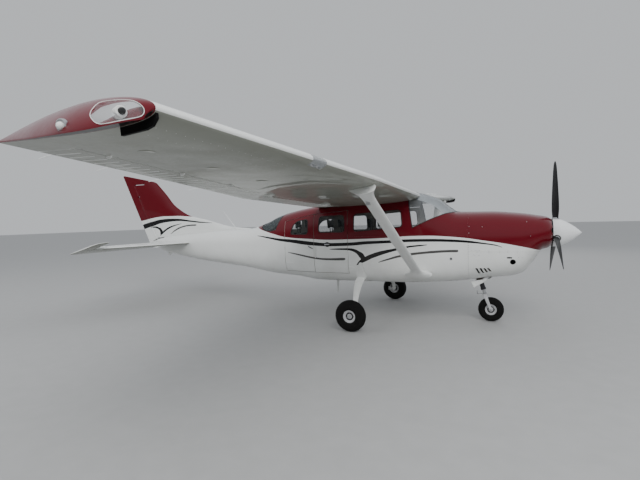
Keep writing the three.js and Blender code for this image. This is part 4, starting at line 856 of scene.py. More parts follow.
def ringSpots(station, spacing, low, high, lift=0.0):
    # places around the skin at one station, with the skin's facing
    ring = bodyRing(smoothRows(bodyTable, [station])[0], 0, 400)
    spots, run = [], spacing
    for before, point in zip(ring[-1:] + ring[:-1], ring):
        run += (Vector(point) - Vector(before)).length
        if run < spacing:
            continue
        run = 0
        place, facing, *_ = outerTree.find_nearest(Vector(point) / 1000)
        if low <= point[2] <= high:
            spots.append((place * 1000 + facing * lift, facing))
    return spots


def linePaint(piece, inner, depth=0.0025):
    # faces that lie under the skin get the inner material
    piece.data.materials.append(inner)
    for polygon in piece.data.polygons:
        place, facing, index, gap = outerTree.find_nearest(polygon.center)
        polygon.material_index = 1 if gap > depth and polygon.normal.dot(facing) < 0.5 else 0


windshieldOutline = [(120, 1640), (300, 1604), (500, 1526), (650, 1455), (752, 1405), (790, 1640), (815, 1790), (800, 1925),
                     (790, 2050), (100, 2050)]
rearWindowOutline = [(2990, 1640), (3085, 1400), (3210, 1376), (3340, 1388), (3440, 1440), (3560, 1700), (2975, 1800)]
frontWindowOutline = [(887, 1424), (1651, 1361), (1646, 1636), (912, 1686)]
middleWindowOutline = [(1790, 1356), (2252, 1352), (2240, 1612), (1800, 1628)]
rearSideOutline = [(2438, 1326), (2785, 1320), (2730, 1482), (2640, 1550), (2440, 1580)]
pilotDoorOutline = [(850, 715), (1705, 715), (1705, 1715), (850, 1735)]
cargoFrontOutline = [(1745, 715), (2330, 715), (2330, 1650), (1745, 1695)]
cargoRearOutline = [(2330, 715), (2890, 715), (2890, 1545), (2330, 1650)]

# windows in the sides: name, CAD node, body, outline, side, stations
windowTable = [
    ("windowRightFront", "window_right_front", "airframe", frontWindowOutline, -1, (700, 1800)),
    ("windowLeftMiddle", "window_left_middle", "airframe", middleWindowOutline, 1, (1700, 2400)),
    ("windowLeftRear", "window_left_rear", "airframe", rearSideOutline, 1, (2300, 2900)),
    ("pilotDoorWindow", "pilot_door_window", "pilot_door", frontWindowOutline, 1, (700, 1800)),
    ("cargoFrontWindow", "cargo_front_window", "cargo_door_front", middleWindowOutline, -1, (1700, 2400)),
    ("cargoRearWindow", "cargo_rear_window", "cargo_door_rear", rearSideOutline, -1, (2300, 2900)),
]
doorTable = [  # name, CAD node, outline, window, side, hinge station, knuckle heights
    ("pilotDoor", "pilot_door", pilotDoorOutline, frontWindowOutline, 1, 850, (1000, 1400)),
    ("cargoFrontDoor", "cargo_door_front", cargoFrontOutline, middleWindowOutline, -1, 1745, (1000, 1400)),
    ("cargoRearDoor", "cargo_door_rear", cargoRearOutline, rearSideOutline, -1, 2890, (1010, 1190)),
]


def sideCutter(outline, side, inset=0.0, radius=0.0):
    return sidePrism("cutter", roundOutline(outline, inset, radius), side * 200, side * 900)


def skinBand(name, outer, inner, start, end, spacing=None):
    piece = hull(name, start, end, outer, spacing)
    return carve(piece, hull("cutter", start - 5, end + 5, inner, spacing))


def pinGroove(outline, side, hinge):
    # room along a door's upright pin, so that its edge turns free
    y = side * (smoothRows(bodyTable, [hinge])[0][4] + hingeSettings["grooveOut"])
    heights = [height for station, height in outline if station == hinge]
    return tube("cutter", [(xAt(hinge), y, min(heights)), (xAt(hinge), y, max(heights))], hingeSettings["grooveRadius"], 16)


print("cabin shell")
corner = bodySettings["windowCorner"]
halfGap = bodySettings["doorGap"] / 2
cabinShell = skinBand("cabinShell", 0, bodySettings["cabinWall"], 0, bodySettings["cabinBack"])
carve(cabinShell, sidePrism("cutter", windshieldOutline, -900, 900))
carve(cabinShell, sidePrism("cutter", rearWindowOutline, -900, 900))
for outline, side in ((frontWindowOutline, -1), (middleWindowOutline, 1), (rearSideOutline, 1)):
    carve(cabinShell, sideCutter(outline, side, 0, corner))
for name, node, outline, window, side, hinge, heights in doorTable:
    carve(cabinShell, sideCutter(outline, side, -halfGap))


def knuckleRow(name, hinge, side, heights, moving):
    # round hinge knuckles on a door's upright pin
    y = side * (smoothRows(bodyTable, [hinge])[0][4] - hingeSettings["knuckleIn"])
    bars = []
    for height in heights:
        for span in hingeSettings["moving" if moving else "fixed"]:
            bars.append(tube("bar", [(xAt(hinge), y, height + end) for end in span], hingeSettings["knuckleRadius"], 18))
    return join(name, bars, sidePaint)


cabinLower = copyPiece(cabinShell, "cabinLower")
keepInside(cabinLower, box("cutter", (-1000, -900, 0), (3000, 900, bodySettings["belt"] - 0.3)))
cabinUpper = keepInside(cabinShell, box("cutter", (-1000, -900, bodySettings["belt"]), (3000, 900, 2200)))
cabinUpper.name = cabinUpper.data.name = "cabinUpper"
for piece, slotName, node in ((cabinLower, "paint_white", "cabin_lower"), (cabinUpper, "paint_red", "cabin_upper")):
    coat(piece, sidePaint)
    linePaint(piece, trimPlastic if piece is cabinLower else headCloth)
    smooth(piece)
    finish(piece, "airframe", slotName, node)

floorPlate = box("cabinFloor", (xAt(3100), -700, bodySettings["floor"] - 14), (xAt(20), 700, bodySettings["floor"]))
keepInside(floorPlate, hull("cutter", -5, 3200, bodySettings["cabinWall"] + 0.5))
finish(coat(floorPlate, floorCarpet), "airframe", "panel_plastic")

print("doors and windows")
for name, node, outline, window, side, hinge, heights in doorTable:
    door = skinBand(name, 0, bodySettings["cabinWall"], outline[0][0] - 50, outline[1][0] + 50)
    keepInside(door, sideCutter(outline, side, halfGap))
    carve(door, sideCutter(window, side, 0, corner))
    carve(door, pinGroove(outline, side, hinge))
    coat(door, sidePaint)
    linePaint(door, trimPlastic)
    smooth(door)
    finish(door, node, "paint_red", node)
    finish(knuckleRow(name + "Knuckles", hinge, side, heights, True), node, "paint_red")
    finish(knuckleRow(name + "FixedKnuckles", hinge, side, heights, False), "airframe", "paint_red")


def glaze(name, node, body, span, depths, glass, insets, cutAt):
    # a pane and its rubber seal; depths are their outer and inner faces, cutAt makes a cutter at an inset
    pane = skinBand(name, *depths[0], *span, bodySettings["paneSpacing"])
    keepInside(pane, cutAt(insets[0]))
    finish(smooth(coat(pane, glass)), body, "glass", node)
    seal = skinBand(name + "Seal", *depths[1], *span, bodySettings["paneSpacing"])
    keepInside(seal, cutAt(insets[1]))
    carve(seal, cutAt(insets[2]))
    finish(smooth(coat(seal, sealRubber)), body, "panel_plastic")


for name, node, body, outline, side, span in windowTable:
    glaze(name, node, body, span, ((5, 10), (-1.2, 12)), windowGlass, (0.6, 0.2, 11),
          lambda inset: sideCutter(outline, side, inset, corner))
for name, node, outline, span, glass in (
    ("windshieldGlass", "windshield", windshieldOutline, (0, 1100), screenGlass),
    ("rearWindowGlass", "rear_window", rearWindowOutline, (2900, 3649), windowGlass),
):
    glaze(name, node, "airframe", span, ((4, 9), (-1.0, 11)), glass, (0.5, 0.3, 10),
          lambda inset: sidePrism("cutter", roundOutline(outline, inset), -900, 900))

print("tail cone")
tailCone = skinBand("tailCone", 0, bodySettings["tailWall"], 3650.3, 6178)
carve(tailCone, hull("tailCap", 6178, bodySettings["tailEnd"]), "UNION")
carve(tailCone, tube("cutter", [(xAt(5890), y, 1163) for y in (-400, 400)], 19.4, 24))
finish(smooth(coat(tailCone, sidePaint)), "airframe", "paint_white", "tail_cone")
skid = sidePrism("tailSkid", [(5900, 990), (5980, 1000), (5972, 908), (5950, 900), (5915, 902)], -12, 12, gearPaint)
finish(skid, "airframe", "paint_white")

print("skin details")
skinSettings = {
    "sink": -0.2, "rivetSpacing": 34, "seamSpacing": 14, "seamSink": -0.9,
    "rings": [  # station, lowest and highest rivet
        (22, 560, 1560), (48, 560, 1560), (3668, 600, 1500), (4237, 700, 1450), (4560, 700, 1420), (4877, 780, 1400),
        (5405, 850, 1360), (5700, 900, 1330)],
    "rows": [  # first and last station, spacing, first and last height
        (3720, 5850, 36, 1010, 1100), (3720, 5850, 36, 1240, 1215), (30, 830, 36, 700, 700)],
    "seams": [(35, 560, 1560), (4240, 700, 1450), (4880, 780, 1400), (5408, 850, 1360)],
    "cowlSpots": [  # station and height
        (-53, 1088), (-103, 1088), (-154, 1088), (-83, 1029), (-154, 1025), (-96, 1019), (-144, 1019), (-641, 996), (-683, 996),
        (-710, 945), (-735, 1032), (-757, 1031), (-126, 1060), (-276, 1060), (-409, 1060), (-511, 1060), (-626, 1060),
        (-730, 1060), (-126, 1084), (-276, 1084), (-409, 1084), (-511, 1084), (-626, 1084), (-190, 1412), (-740, 1470),
        (-783, 1282), (-20, 1330), (-20, 1420)],
}


def skinSpots(rows, side):
    # places on one side with the skin's facing, where the skin reaches them
    spots = (skinPoint(xAt(station), height, side, skinSettings["sink"]) for station, height in rows)
    return [spot for spot in spots if spot]


def skinLine(rows, side):
    # rows are station, height and how far out
    return [skinPoint(xAt(station), height, side, out)[0] for station, height, out in rows]


rivets = []
for station, low, high in skinSettings["rings"]:
    rivets += ringSpots(station, skinSettings["rivetSpacing"], low, high, skinSettings["sink"])
for start, end, spacing, first, last in skinSettings["rows"]:
    count = round((end - start) / spacing)
    row = [(start + (end - start) * k / count, first + (last - first) * k / count) for k in range(count + 1)]
    for side in (-1, 1):
        rivets += skinSpots(row, side)
finish(placeHeads("skinRivets", rivets, sidePaint, 2.8, 1.1, 7, 0.5), "airframe", "paint_white")
seams = []
for station, low, high in skinSettings["seams"]:
    spots = ringSpots(station, skinSettings["seamSpacing"], low, high, skinSettings["seamSink"])
    line = [place for place, facing in spots]
    cut = max(range(len(line)), key=lambda i: (line[i] - line[i - 1]).length)
    seams.append(line[cut:] + line[:cut])
finish(placeBeads("panelLaps", seams, sidePaint, 1.7, 6), "airframe", "paint_white")

cowlHeads, edgeHeads = [], []
for side in (-1, 1):
    cowlHeads += skinSpots(skinSettings["cowlSpots"], side)
    edgeHeads += skinSpots([(-12, height) for height in range(727, 1200, 31)], side)
finish(placeHeads("cowlFasteners", cowlHeads, steelBright, 6.5, 1.8, 10, 0.7), "airframe", "steel")
finish(placeHeads("cowlEdgeScrews", edgeHeads, darkAndShade, 5, 1.4, 8, 0.7), "airframe", "steel")

for side in (-1, 1):
    word = "Left" if side > 0 else "Right"
    ring = skinPatch("staticPort" + word, ovalOutline(215, 971, 20, 20), side, 2.0, steelBright)
    finish(smooth(ring), "airframe", "steel")
    # painted shade: a black disc stands for the port's shaded hole
    finish(skinPatch("staticPortHoleShade" + word, ovalOutline(215, 971, 11, 11), side, 2.6, darkAndShade), "airframe", "steel")
    if side > 0:  # stays under the pilot's door
        shoeOutline = roundOutline([(1470, 640), (1640, 640), (1628, 706), (1482, 706)], 0, 12)
    else:
        shoeOutline = roundOutline([(1470, 640), (1640, 640), (1610, 770), (1560, 895), (1520, 895), (1492, 770)], 0, 40)
    finish(smooth(skinPatch("legFairing" + word, shoeOutline, side, 9, gearPaint)), "airframe", "paint_white")
    corners = closedOutline([(176, 1576), (276, 1583), (272, 1549), (171, 1541)], 6)
    hatch = skinLine([(station, height, -0.6) for station, height in corners], side)
    finish(placeBeads("oilHatch" + word, [hatch], sidePaint, 2.2, 6), "airframe", "paint_red")
step = skinPatch("stepPad", roundOutline([(1640, 812), (1738, 812), (1738, 834), (1640, 834)], 0, 9), -1, 6, gearPaint)
finish(smooth(step), "airframe", "paint_white")

handleTable = [  # name, body, station, height, side
    ("cargoHandle", "cargo_door_front", 2091, 1166, -1), ("pilotHandle", "pilot_door", 1590, 1130, 1),
]
for name, body, station, height, side in handleTable:
    plate = skinPatch(name + "Plate", ovalOutline(station, height, 48, 38), side, 2.5, darkAndShade)
    finish(smooth(plate), body, "panel_plastic")
    bends = ((-34, 4, 1), (-30, 5, 11), (10, 2, 13), (40, -3, 11), (44, -4, 6))
    bar = skinLine([(station + along, height + up, out) for along, up, out in bends], side)
    finish(smooth(tube(name, bar, [7, 7, 6.5, 6, 5], 16, steelBright)), body, "steel")
grab = tube("cargoGrab", skinLine([(2303, 946, 7), (2303, 1112, 7)], -1), 4.5, 12, gearPaint)
finish(grab, "cargo_door_front", "paint_white")
latch = skinLine([(2352, 1097, 4), (2372, 1106, 8), (2424, 1131, 8), (2436, 1137, 2)], -1)
finish(tube("cargoLatch", latch, [5, 6, 6, 4], 12, darkAndShade), "cargo_door_rear", "panel_plastic")
strip = skinPatch("cargoStrip", roundOutline([(2716, 846), (2862, 846), (2862, 864), (2716, 864)], 0, 6), -1, 5, gearPaint)
finish(smooth(strip), "cargo_door_rear", "paint_white")

print("cowl")
cowlSettings = {"front": -1045, "flapFront": -308, "flapInner": 148, "flapOuter": 318, "propHeight": 1306,
                "intake": (262, 1346, 105, 62), "spacing": 30, "louvreHalf": 14}
cowlShell = hull("cowlShell", cowlSettings["front"], -0.3, 0, cowlSettings["spacing"])
cowlInside = hull("cutter", cowlSettings["front"] + bodySettings["cowlWall"], 10, bodySettings["cowlWall"], cowlSettings["spacing"])
carve(cowlShell, cowlInside)
carve(cowlShell, tube("cutter", [(xAt(station), 0, cowlSettings["propHeight"]) for station in (-900, -1200)], 78, 48))


def intakeRing(side):
    y, z, wide, tall = cowlSettings["intake"]
    return [(side * y + wide * math.cos(angle), z + tall * math.sin(angle)) for angle in turns(48)]


for side in (-1, 1):
    carve(cowlShell, loft("cutter", [[(x, y, z) for y, z in intakeRing(side)] for x in (xAt(-800), xAt(-1100))]))
    inner, outer = side * cowlSettings["flapInner"], side * cowlSettings["flapOuter"]
    front = cowlSettings["flapFront"]
    carve(cowlShell, planPrism("cutter", [(front, inner), (10, inner), (10, outer), (front, outer)], 500, 800))
    lip = []
    for y, z in intakeRing(side):
        place, facing, *_ = outerTree.ray_cast(Vector((6, y / 1000, z / 1000)), Vector((-1, 0, 0)))
        lip.append(place * 1000 + Vector((-2, 0, 0)))
    lip += lip[:2]
    finish(placeBeads(f"intakeLip{'Left' if side > 0 else 'Right'}", [lip], sidePaint, 8, 12), "airframe", "paint_red")
carve(cowlShell, planPrism("cutter", [(-240, -72), (10, -72), (10, 72), (-240, 72)], 500, 800))
exhaustPath = [(xAt(-350), -110, 980), (xAt(-250), -110, 800), (xAt(-150), -110, 660), (xAt(-60), -110, 560)]
carve(cowlShell, tube("cutter", exhaustPath, 37, 24))

# louvres, cooling hole and slot in the cowl's sides: station and height
louvreTable = [(-111, 842, -150, 764), (-163, 843, -199, 772), (-211, 843, -250, 783), (-259, 844, -297, 795)]
louvreHalf = cowlSettings["louvreHalf"]
for side in (-1, 1):
    for top, topHeight, foot, footHeight in louvreTable:
        slot = [(top - louvreHalf, topHeight), (top + louvreHalf, topHeight),
                (foot + louvreHalf, footHeight), (foot - louvreHalf, footHeight)]
        carve(cowlShell, sidePrism("cutter", slot, side * 350, side * 700))
    carve(cowlShell, tube("cutter", [(xAt(-572), side * 300, 934), (xAt(-572), side * 700, 934)], 36, 36))
    slot = roundOutline([(-562, 982), (-498, 982), (-498, 1001), (-562, 1001)], 0, 8)
    carve(cowlShell, sidePrism("cutter", slot, side * 350, side * 700))

cowlUpper = copyPiece(cowlShell, "cowlUpper")
keepInside(cowlUpper, box("cutter", (2000, -800, bodySettings["cowlSplit"]), (4500, 800, 2000)))
cowlLower = keepInside(cowlShell, box("cutter", (2000, -800, 0), (4500, 800, bodySettings["cowlSplit"] - 0.9)))
cowlLower.name = cowlLower.data.name = "cowlLower"
for piece, slotName, node in ((cowlUpper, "paint_red", "cowl_upper"), (cowlLower, "paint_white", "cowl_lower")):
    coat(piece, sidePaint)
    linePaint(piece, exhaustSteel, 0.003)
    smooth(piece)
    finish(piece, "airframe", slotName, node)

louvreLips = []
for side in (-1, 1):
    for top, topHeight, foot, footHeight in louvreTable:
        start, run, rise = top + louvreHalf + 3, foot - top, footHeight - topHeight
        louvreLips.append(skinLine([(start + k / 5 * run, topHeight + k / 5 * rise, 1.5) for k in range(6)], side))
finish(placeBeads("louvreLips", louvreLips, sidePaint, 4, 8), "airframe", "paint_white")

print("cowl flaps")
flapSettings = {"hingeX": xAt(-296), "hingeZ": 688, "open": 26, "gap": 8, "drop": 30}


def turnAbout(x, z, degrees):
    # a turn about a level axis across the part
    move = Matrix.Translation(Vector((x, 0, z)) / 1000)
    return move @ Matrix.Rotation(math.radians(degrees), 4, "Y") @ move.inverted()


def cowlFlap():
    hingeX, z, drop = flapSettings["hingeX"], flapSettings["hingeZ"], flapSettings["drop"]
    x0, x1 = hingeX - 10, xAt(-26)
    y0, y1 = cowlSettings["flapInner"] + flapSettings["gap"], cowlSettings["flapOuter"] - flapSettings["gap"]
    plate = [[(x0, y, z + 2), (x0, y, z - 6), (x1, y, z - drop - 6), (x1, y, z - drop)] for y in (y0, y1)]
    cheek = [[(x0, y, z - 4), (x1, y, z - drop - 5), (x1, y, z - drop + 96)] for y in (y1 - 5, y1)]
    bars = [loft("bar", plate), loft("bar", cheek)]
    span = y1 - y0
    for part in (0.25, 0.75):
        y = y0 + span * part
        bars.append(tube("bar", [(hingeX, y - 8, z), (hingeX, y + 8, z)], 7, 14))
        bars.append(box("bar", (x0 - 6, y - 7, z - 7), (hingeX - 3, y + 7, z + 1)))
    piece = join("cowlFlapLeft", bars, gearPaint)
    piece.data.transform(turnAbout(hingeX, z, -flapSettings["open"]))
    return piece


leftFlap = cowlFlap()
rightFlap = mirrorPiece(leftFlap, "cowlFlapRight")
for piece, word in ((leftFlap, "left"), (rightFlap, "right")):
    bevel = piece.modifiers.new("softEdges", "BEVEL")
    bevel.width, bevel.segments = 0.0015, 2
    bake(piece)
    finish(piece, f"cowl_flap_{word}", "paint_white", f"cowl_flap_{word}")

print("propeller")
propSettings = {"base": -1066, "tip": -1425, "radius": 190, "straight": 70, "plane": -1112, "lean": -7.3}
bladeTable = [  # distance out, chord, thickness, pitch
    (120, 74, 74, 0), (185, 76, 66, 50), (235, 100, 40, 43), (320, 138, 27, 35), (480, 158, 19, 28), (700, 148, 13, 22),
    (880, 122, 9, 18), (965, 86, 7, 17), (1003, 34, 5, 17),
]


def bladeTurn(index):
    return Quaternion((1, 0, 0), math.radians(propSettings["lean"] + 120 * index))


def coneRadius(part):
    # part runs from 0 where the spinner starts to taper to 1 at its tip
    return propSettings["radius"] * max(1 - part ** 1.45, 0) ** 0.92


straight = propSettings["straight"]
taper = propSettings["base"] - propSettings["tip"] - straight
spinnerBase = (xAt(propSettings["base"]), 0, cowlSettings["propHeight"])
spinnerProfile = [(0.01, 0), (188, 0), (190, 3), (190, straight)]
spinnerProfile += [(coneRadius(k / 24) if k < 24 else 0.01, straight + taper * (k / 24)) for k in range(1, 25)]
spinner = lathe("spinnerCone", spinnerProfile, spinnerBase, "X", 96, spinnerPaint)
middle = Vector((xAt(propSettings["plane"]), 0, cowlSettings["propHeight"]))
for index in range(3):
    out = bladeTurn(index) @ Vector((0, 0, 1))
    carve(spinner, tube("cutter", [middle + out * 119.7, middle + out * 260], 46, 40))
smooth(coat(spinner, spinnerPaint))
finish(spinner, "propeller", "paint_white", "spinner")
plateProfile = [(0.01, -14), (176, -14), (184, -10), (184, -0.4), (0.01, -0.4)]
finish(smooth(lathe("spinnerPlate", plateProfile, spinnerBase, "X", 72, bladeBlack)), "propeller", "blade_black")
# painted shade: a thin black band at the spinner's base stands for the shaded gap at the backing plate
bandProfile = [(188.5, 0.5), (191.2, 0.5), (191.2, 7), (188.5, 7)]
finish(smooth(lathe("spinnerGapShade", bandProfile, spinnerBase, "X", 96, darkAndShade)), "propeller", "blade_black")
shaft = tube("propShaft", [(x, 0, cowlSettings["propHeight"]) for x in (xAt(-1052), xAt(-880) + 0.3)], 62, 32, steelBright)
finish(smooth(shaft), "propeller", "steel")
for index in range(3):
    places = [120, 150, 185, 210, 235, 275, 320, 390, 480, 590, 700, 800, 880, 930, 965, 988, 1000, 1003]
    rings = []
    for out, chord, thick, pitch in smoothRows(bladeTable, places):
        turn, ring = math.radians(pitch), []
        for angle in turns(32):
            across, deep = chord / 2 * math.cos(angle), thick / 2 * math.sin(angle)
            fore, along = deep * math.cos(turn) - across * math.sin(turn), deep * math.sin(turn) + across * math.cos(turn)
            ring.append(middle + bladeTurn(index) @ Vector((fore, along, out)))
        rings.append(ring)
    blade = loft(f"blade{index + 1}", rings, bladeBlack)
    finish(smooth(blade, 50), "propeller", "blade_black", f"blade_{index + 1}")
    out = bladeTurn(index) @ Vector((0, 0, 1))
    collarPath = [middle + out * reach for reach in (140, 192, 206)]
    collar = tube(f"bladeCollar{index + 1}", collarPath, [42, 42, 37], 32, steelBright)
    finish(smooth(collar), "propeller", "steel")
    sideways, ringLine = out.cross(Vector((1, 0, 0))), []
    for angle in turns(40, 2):
        across, fore = 47 * math.cos(angle), 47 * math.sin(angle)
        cone = coneRadius(max(fore + propSettings["base"] - propSettings["plane"] - straight, 0) / taper)
        ringLine.append(middle + out * math.sqrt(cone ** 2 - across ** 2) + sideways * across + Vector((fore, 0, 0)))
    finish(placeBeads(f"bladeRing{index + 1}", [ringLine], sealRubber, 4.5, 10), "propeller", "blade_black")

print("wings")
wingTable = [(380, 667, 1879, 1626, 4.5), (2540, 667, 1952, 1626, 4.3), (5283, 807, 2046.6, 1108, 1.78)]
wingSettings = {"thickness": 0.12, "camber": 0.02, "highPoint": 0.4, "edge": 5, "points": 36, "flapSpan": (640, 3260),
                "aileronSpan": (3300, 5060), "share": 0.74, "gap": 8, "beadSpacing": 92}


def foilHeight(fraction, thickness, camber, upper):
    series = 0.2969 * math.sqrt(fraction) - 0.126 * fraction - 0.3516 * fraction ** 2
    half = 5 * thickness * (series + 0.2843 * fraction ** 3 - 0.1036 * fraction ** 4)
    p = wingSettings["highPoint"]
    if fraction < p:
        rise = camber / p ** 2 * (2 * p * fraction - fraction ** 2)
    else:
        rise = camber / (1 - p) ** 2 * (1 - 2 * p + 2 * p * fraction - fraction ** 2)
    return rise + (half if upper else -half)


def wingFoil(share, upper):
    return foilHeight(share, wingSettings["thickness"], wingSettings["camber"], upper)


def foilRing(y, nose, height, chord, noseUp, thickness=None, camber=None):
    thickness = wingSettings["thickness"] if thickness is None else thickness
    camber = wingSettings["camber"] if camber is None else camber
    turn, edge = math.radians(noseUp), wingSettings["edge"] / chord / 2
    count = wingSettings["points"]
    steps = [0.5 * (1 - math.cos(math.pi * k / count)) for k in range(count + 1)]
    ring = []
    for upper, order in ((True, range(count, -1, -1)), (False, range(1, count + 1))):
        for k in order:
            rise = foilHeight(steps[k], thickness, camber, upper) + (edge if upper else -edge) * steps[k]
            along, up = steps[k] * chord, rise * chord
            ring.append((xAt(nose) - along * math.cos(turn) + up * math.sin(turn), y,
                         height - along * math.sin(turn) + up * math.cos(turn)))
    return ring


def wingRowAt(y):
    k = 1 if y <= wingTable[1][0] else 2
    a, b = wingTable[k - 1], wingTable[k]
    t = (y - a[0]) / (b[0] - a[0])
    return [p + t * (q - p) for p, q in zip(a, b)]


def linePoint(y, share, lift=0.0):
    _, nose, height, chord, noseUp = wingRowAt(y)
    turn, along = math.radians(noseUp), share * chord
    return Vector((xAt(nose) - along * math.cos(turn) + lift * math.sin(turn), y,
                   height - along * math.sin(turn) + lift * math.cos(turn)))


def midLift(y, share):
    # the middle of the section over its chord line, and half its thickness
    chord = wingRowAt(y)[3]
    up, low = wingFoil(share, True), wingFoil(share, False)
    return chord * (up + low) / 2, chord * (up - low) / 2


def surfacePlan(span, share):
    a, b = (firewallX - linePoint(y, share).x for y in span)
    return [(a, span[0]), (b, span[1]), (b + 900, span[1]), (a + 900, span[0])]


share, gap = wingSettings["share"], wingSettings["gap"]
flapSpan, aileronSpan = wingSettings["flapSpan"], wingSettings["aileronSpan"]
wholeWing = loft("wholeWing", [foilRing(*wingRowAt(y)) for y in (380, 1100, 1820, 2540, 3455, 4370, 5283)])
aileronEnds = [linePoint(y, share, midLift(y, share)[0]) for y in aileronSpan]
aileronRadii = [midLift(y, share)[1] - 1 for y in aileronSpan]

wing = copyPiece(wholeWing, "wingLeft")
carve(wing, hull("cutter", 0, 3650, -0.5))
carve(wing, planPrism("cutter", surfacePlan((flapSpan[0] - gap, flapSpan[1] + gap), share - 0.006), 1500, 2300))
carve(wing, planPrism("cutter", surfacePlan((aileronSpan[0] - gap, aileronSpan[1] + gap), share), 1500, 2300))
spread = aileronEnds[1] - aileronEnds[0]
coveEnds = [aileronEnds[0] - spread * 0.006, aileronEnds[1] + spread * 0.006]
carve(wing, tube("cutter", coveEnds, [aileronRadii[0] + gap, aileronRadii[1] + gap], 32))

aileron = copyPiece(wholeWing, "aileronLeft")
keepInside(aileron, planPrism("cutter", surfacePlan(aileronSpan, share), 1500, 2300))
noseBar = tube("noseBar", aileronEnds, aileronRadii, 32)
carve(aileron, noseBar, "UNION")
keepInside(aileron, box("cutter", (0, aileronSpan[0], 1500), (3000, aileronSpan[1], 2300)))
flap = copyPiece(wholeWing, "flapLeft")
keepInside(flap, planPrism("cutter", surfacePlan(flapSpan, share), 1500, 2300))

# the landing light's bay in the leading edge
bayInner, bayOuter, bayBack = 3690, 3905, 789
bay = planPrism("cutter", [(500, bayInner), (500, bayOuter), (bayBack, bayOuter), (bayBack, bayInner)], 1800, 2200)
lampLens = copyPiece(wholeWing, "landingLens")
lensRows = (wingRowAt(3650), wingRowAt(3950))
lensInner = [foilRing(y, nose + 3, height, chord - 8, noseUp, 0.114) for y, nose, height, chord, noseUp in lensRows]
carve(lampLens, loft("cutter", lensInner))
keepInside(lampLens, copyPiece(bay, "bayCopy"))
carve(wing, bay)
smooth(coat(lampLens, clearLens))
# painted shade: the wing's faces that look down past -0.6, and the flaps' and ailerons' past -0.25, get the dark
# underside colour
for piece in (wing, aileron, flap):
    coat(piece, whitePaint)
    paintShadeUnder(piece, shadedUnderWhite, -0.6 if piece == wing else -0.25)
    smooth(piece)


def faceLine(y, first, last, upper, lift, steps=9):
    # a chordwise line on a wing surface, a little over its face
    chord = wingRowAt(y)[3]
    line = []
    for k in range(steps):
        part = first + (last - first) * k / (steps - 1)
        edge = wingSettings["edge"] / 2 * part
        line.append(linePoint(y, part, wingFoil(part, upper) * chord + (lift + edge if upper else -lift - edge)))
    return line


def spanLine(share, start, end, upper, lift, spacing):
    # points along the span at a chord share, with the face's facing
    count = max(2, round((end - start) / spacing))
    spots = []
    for k in range(count + 1):
        y = start + (end - start) * k / count
        chord = wingRowAt(y)[3]
        place = linePoint(y, share, wingFoil(share, upper) * chord + (lift if upper else -lift))
        ahead = linePoint(y, share - 0.01, wingFoil(share - 0.01, upper) * chord)
        facing = (ahead - place).normalized().cross(Vector((0, 1, 0)))
        if (facing.z > 0) != upper:
            facing = -facing
        spots.append((place, facing.normalized()))
    return spots


def wingBeads(name, span, first):
    lines = []
    count = round((span[1] - span[0]) / wingSettings["beadSpacing"])
    for k in range(1, count):
        y = span[0] + (span[1] - span[0]) * k / count
        lines += [faceLine(y, first, 0.975, upper, -1.2) for upper in (True, False)]
    return placeBeads(name, lines, whitePaint, 5.0, 6)


aileronBeads = wingBeads("aileronBeadsLeft", aileronSpan, 0.79)
flapBeads = wingBeads("flapBeadsLeft", flapSpan, 0.765)

# hinge brackets under the trailing edge, as seen from below
flapLine = []
for y in flapSpan:
    lift, half = midLift(y, share)
    flapLine.append(linePoint(y, share - 0.006, lift - half - 26))


def flapBrackets(moving):
    # moving plates sit between pairs of fixed ones
    if moving:
        outline, offsets, thick, spans = [(5, -6), (-6, -7), (-130, 22), (-40, 44)], (0,), 6, [(-13, 13)]
    else:
        outline, offsets, thick = [(-6, -6), (6, -6), (120, 40), (16, 46)], (-21.5, 21.5), 5
        spans = [(-28.9, -13.3), (13.3, 28.9)]
    along, bars = (flapLine[1] - flapLine[0]).normalized(), []
    for part in (0.2, 0.8):
        centre = flapLine[0].lerp(flapLine[1], part)
        for offset in offsets:
            edges = (centre.y + offset - thick, centre.y + offset + thick)
            bars.append(loft("bar", [[(centre.x + x, y, centre.z + z) for x, z in outline] for y in edges]))
        bars += [tube("bar", [centre + along * low, centre + along * high], 9, 16) for low, high in spans]
    return join("flapBracketsLeft" if moving else "wingBracketsLeft", bars, whitePaint)


movingBrackets, fixedBrackets = flapBrackets(True), flapBrackets(False)

print("wing details")
faceSettings = {
    "sink": -0.3, "screwShare": 0.70, "screwSpacing": 262, "hatchShare": 0.45, "hatchRadius": 55,
    "hatchSpots": (1150, 1750, 2350, 3000, 3600, 4250, 4850), "rivetShares": (0.1, 0.2, 0.34, 0.52, 0.66), "rivetSpacing": 60,
    "wickSpots": (3420, 3980, 4520, 4960), "lugShares": (0.12, 0.5, 0.88), "ventShare": 0.13, "ventSpots": (1450, 1900, 2300),
}


def singleSpots(share, places, upper, lift):
    return [spanLine(share, y, y + 1, upper, lift, 1)[0] for y in places]


screwSpots = spanLine(faceSettings["screwShare"], 3320, 5040, False, faceSettings["sink"], faceSettings["screwSpacing"])
wingScrews = placeHeads("wingScrews", screwSpots, darkAndShade, 8, 2.5, 10, 0.7)
hatchSpots = singleSpots(faceSettings["hatchShare"], faceSettings["hatchSpots"], False, -0.4)
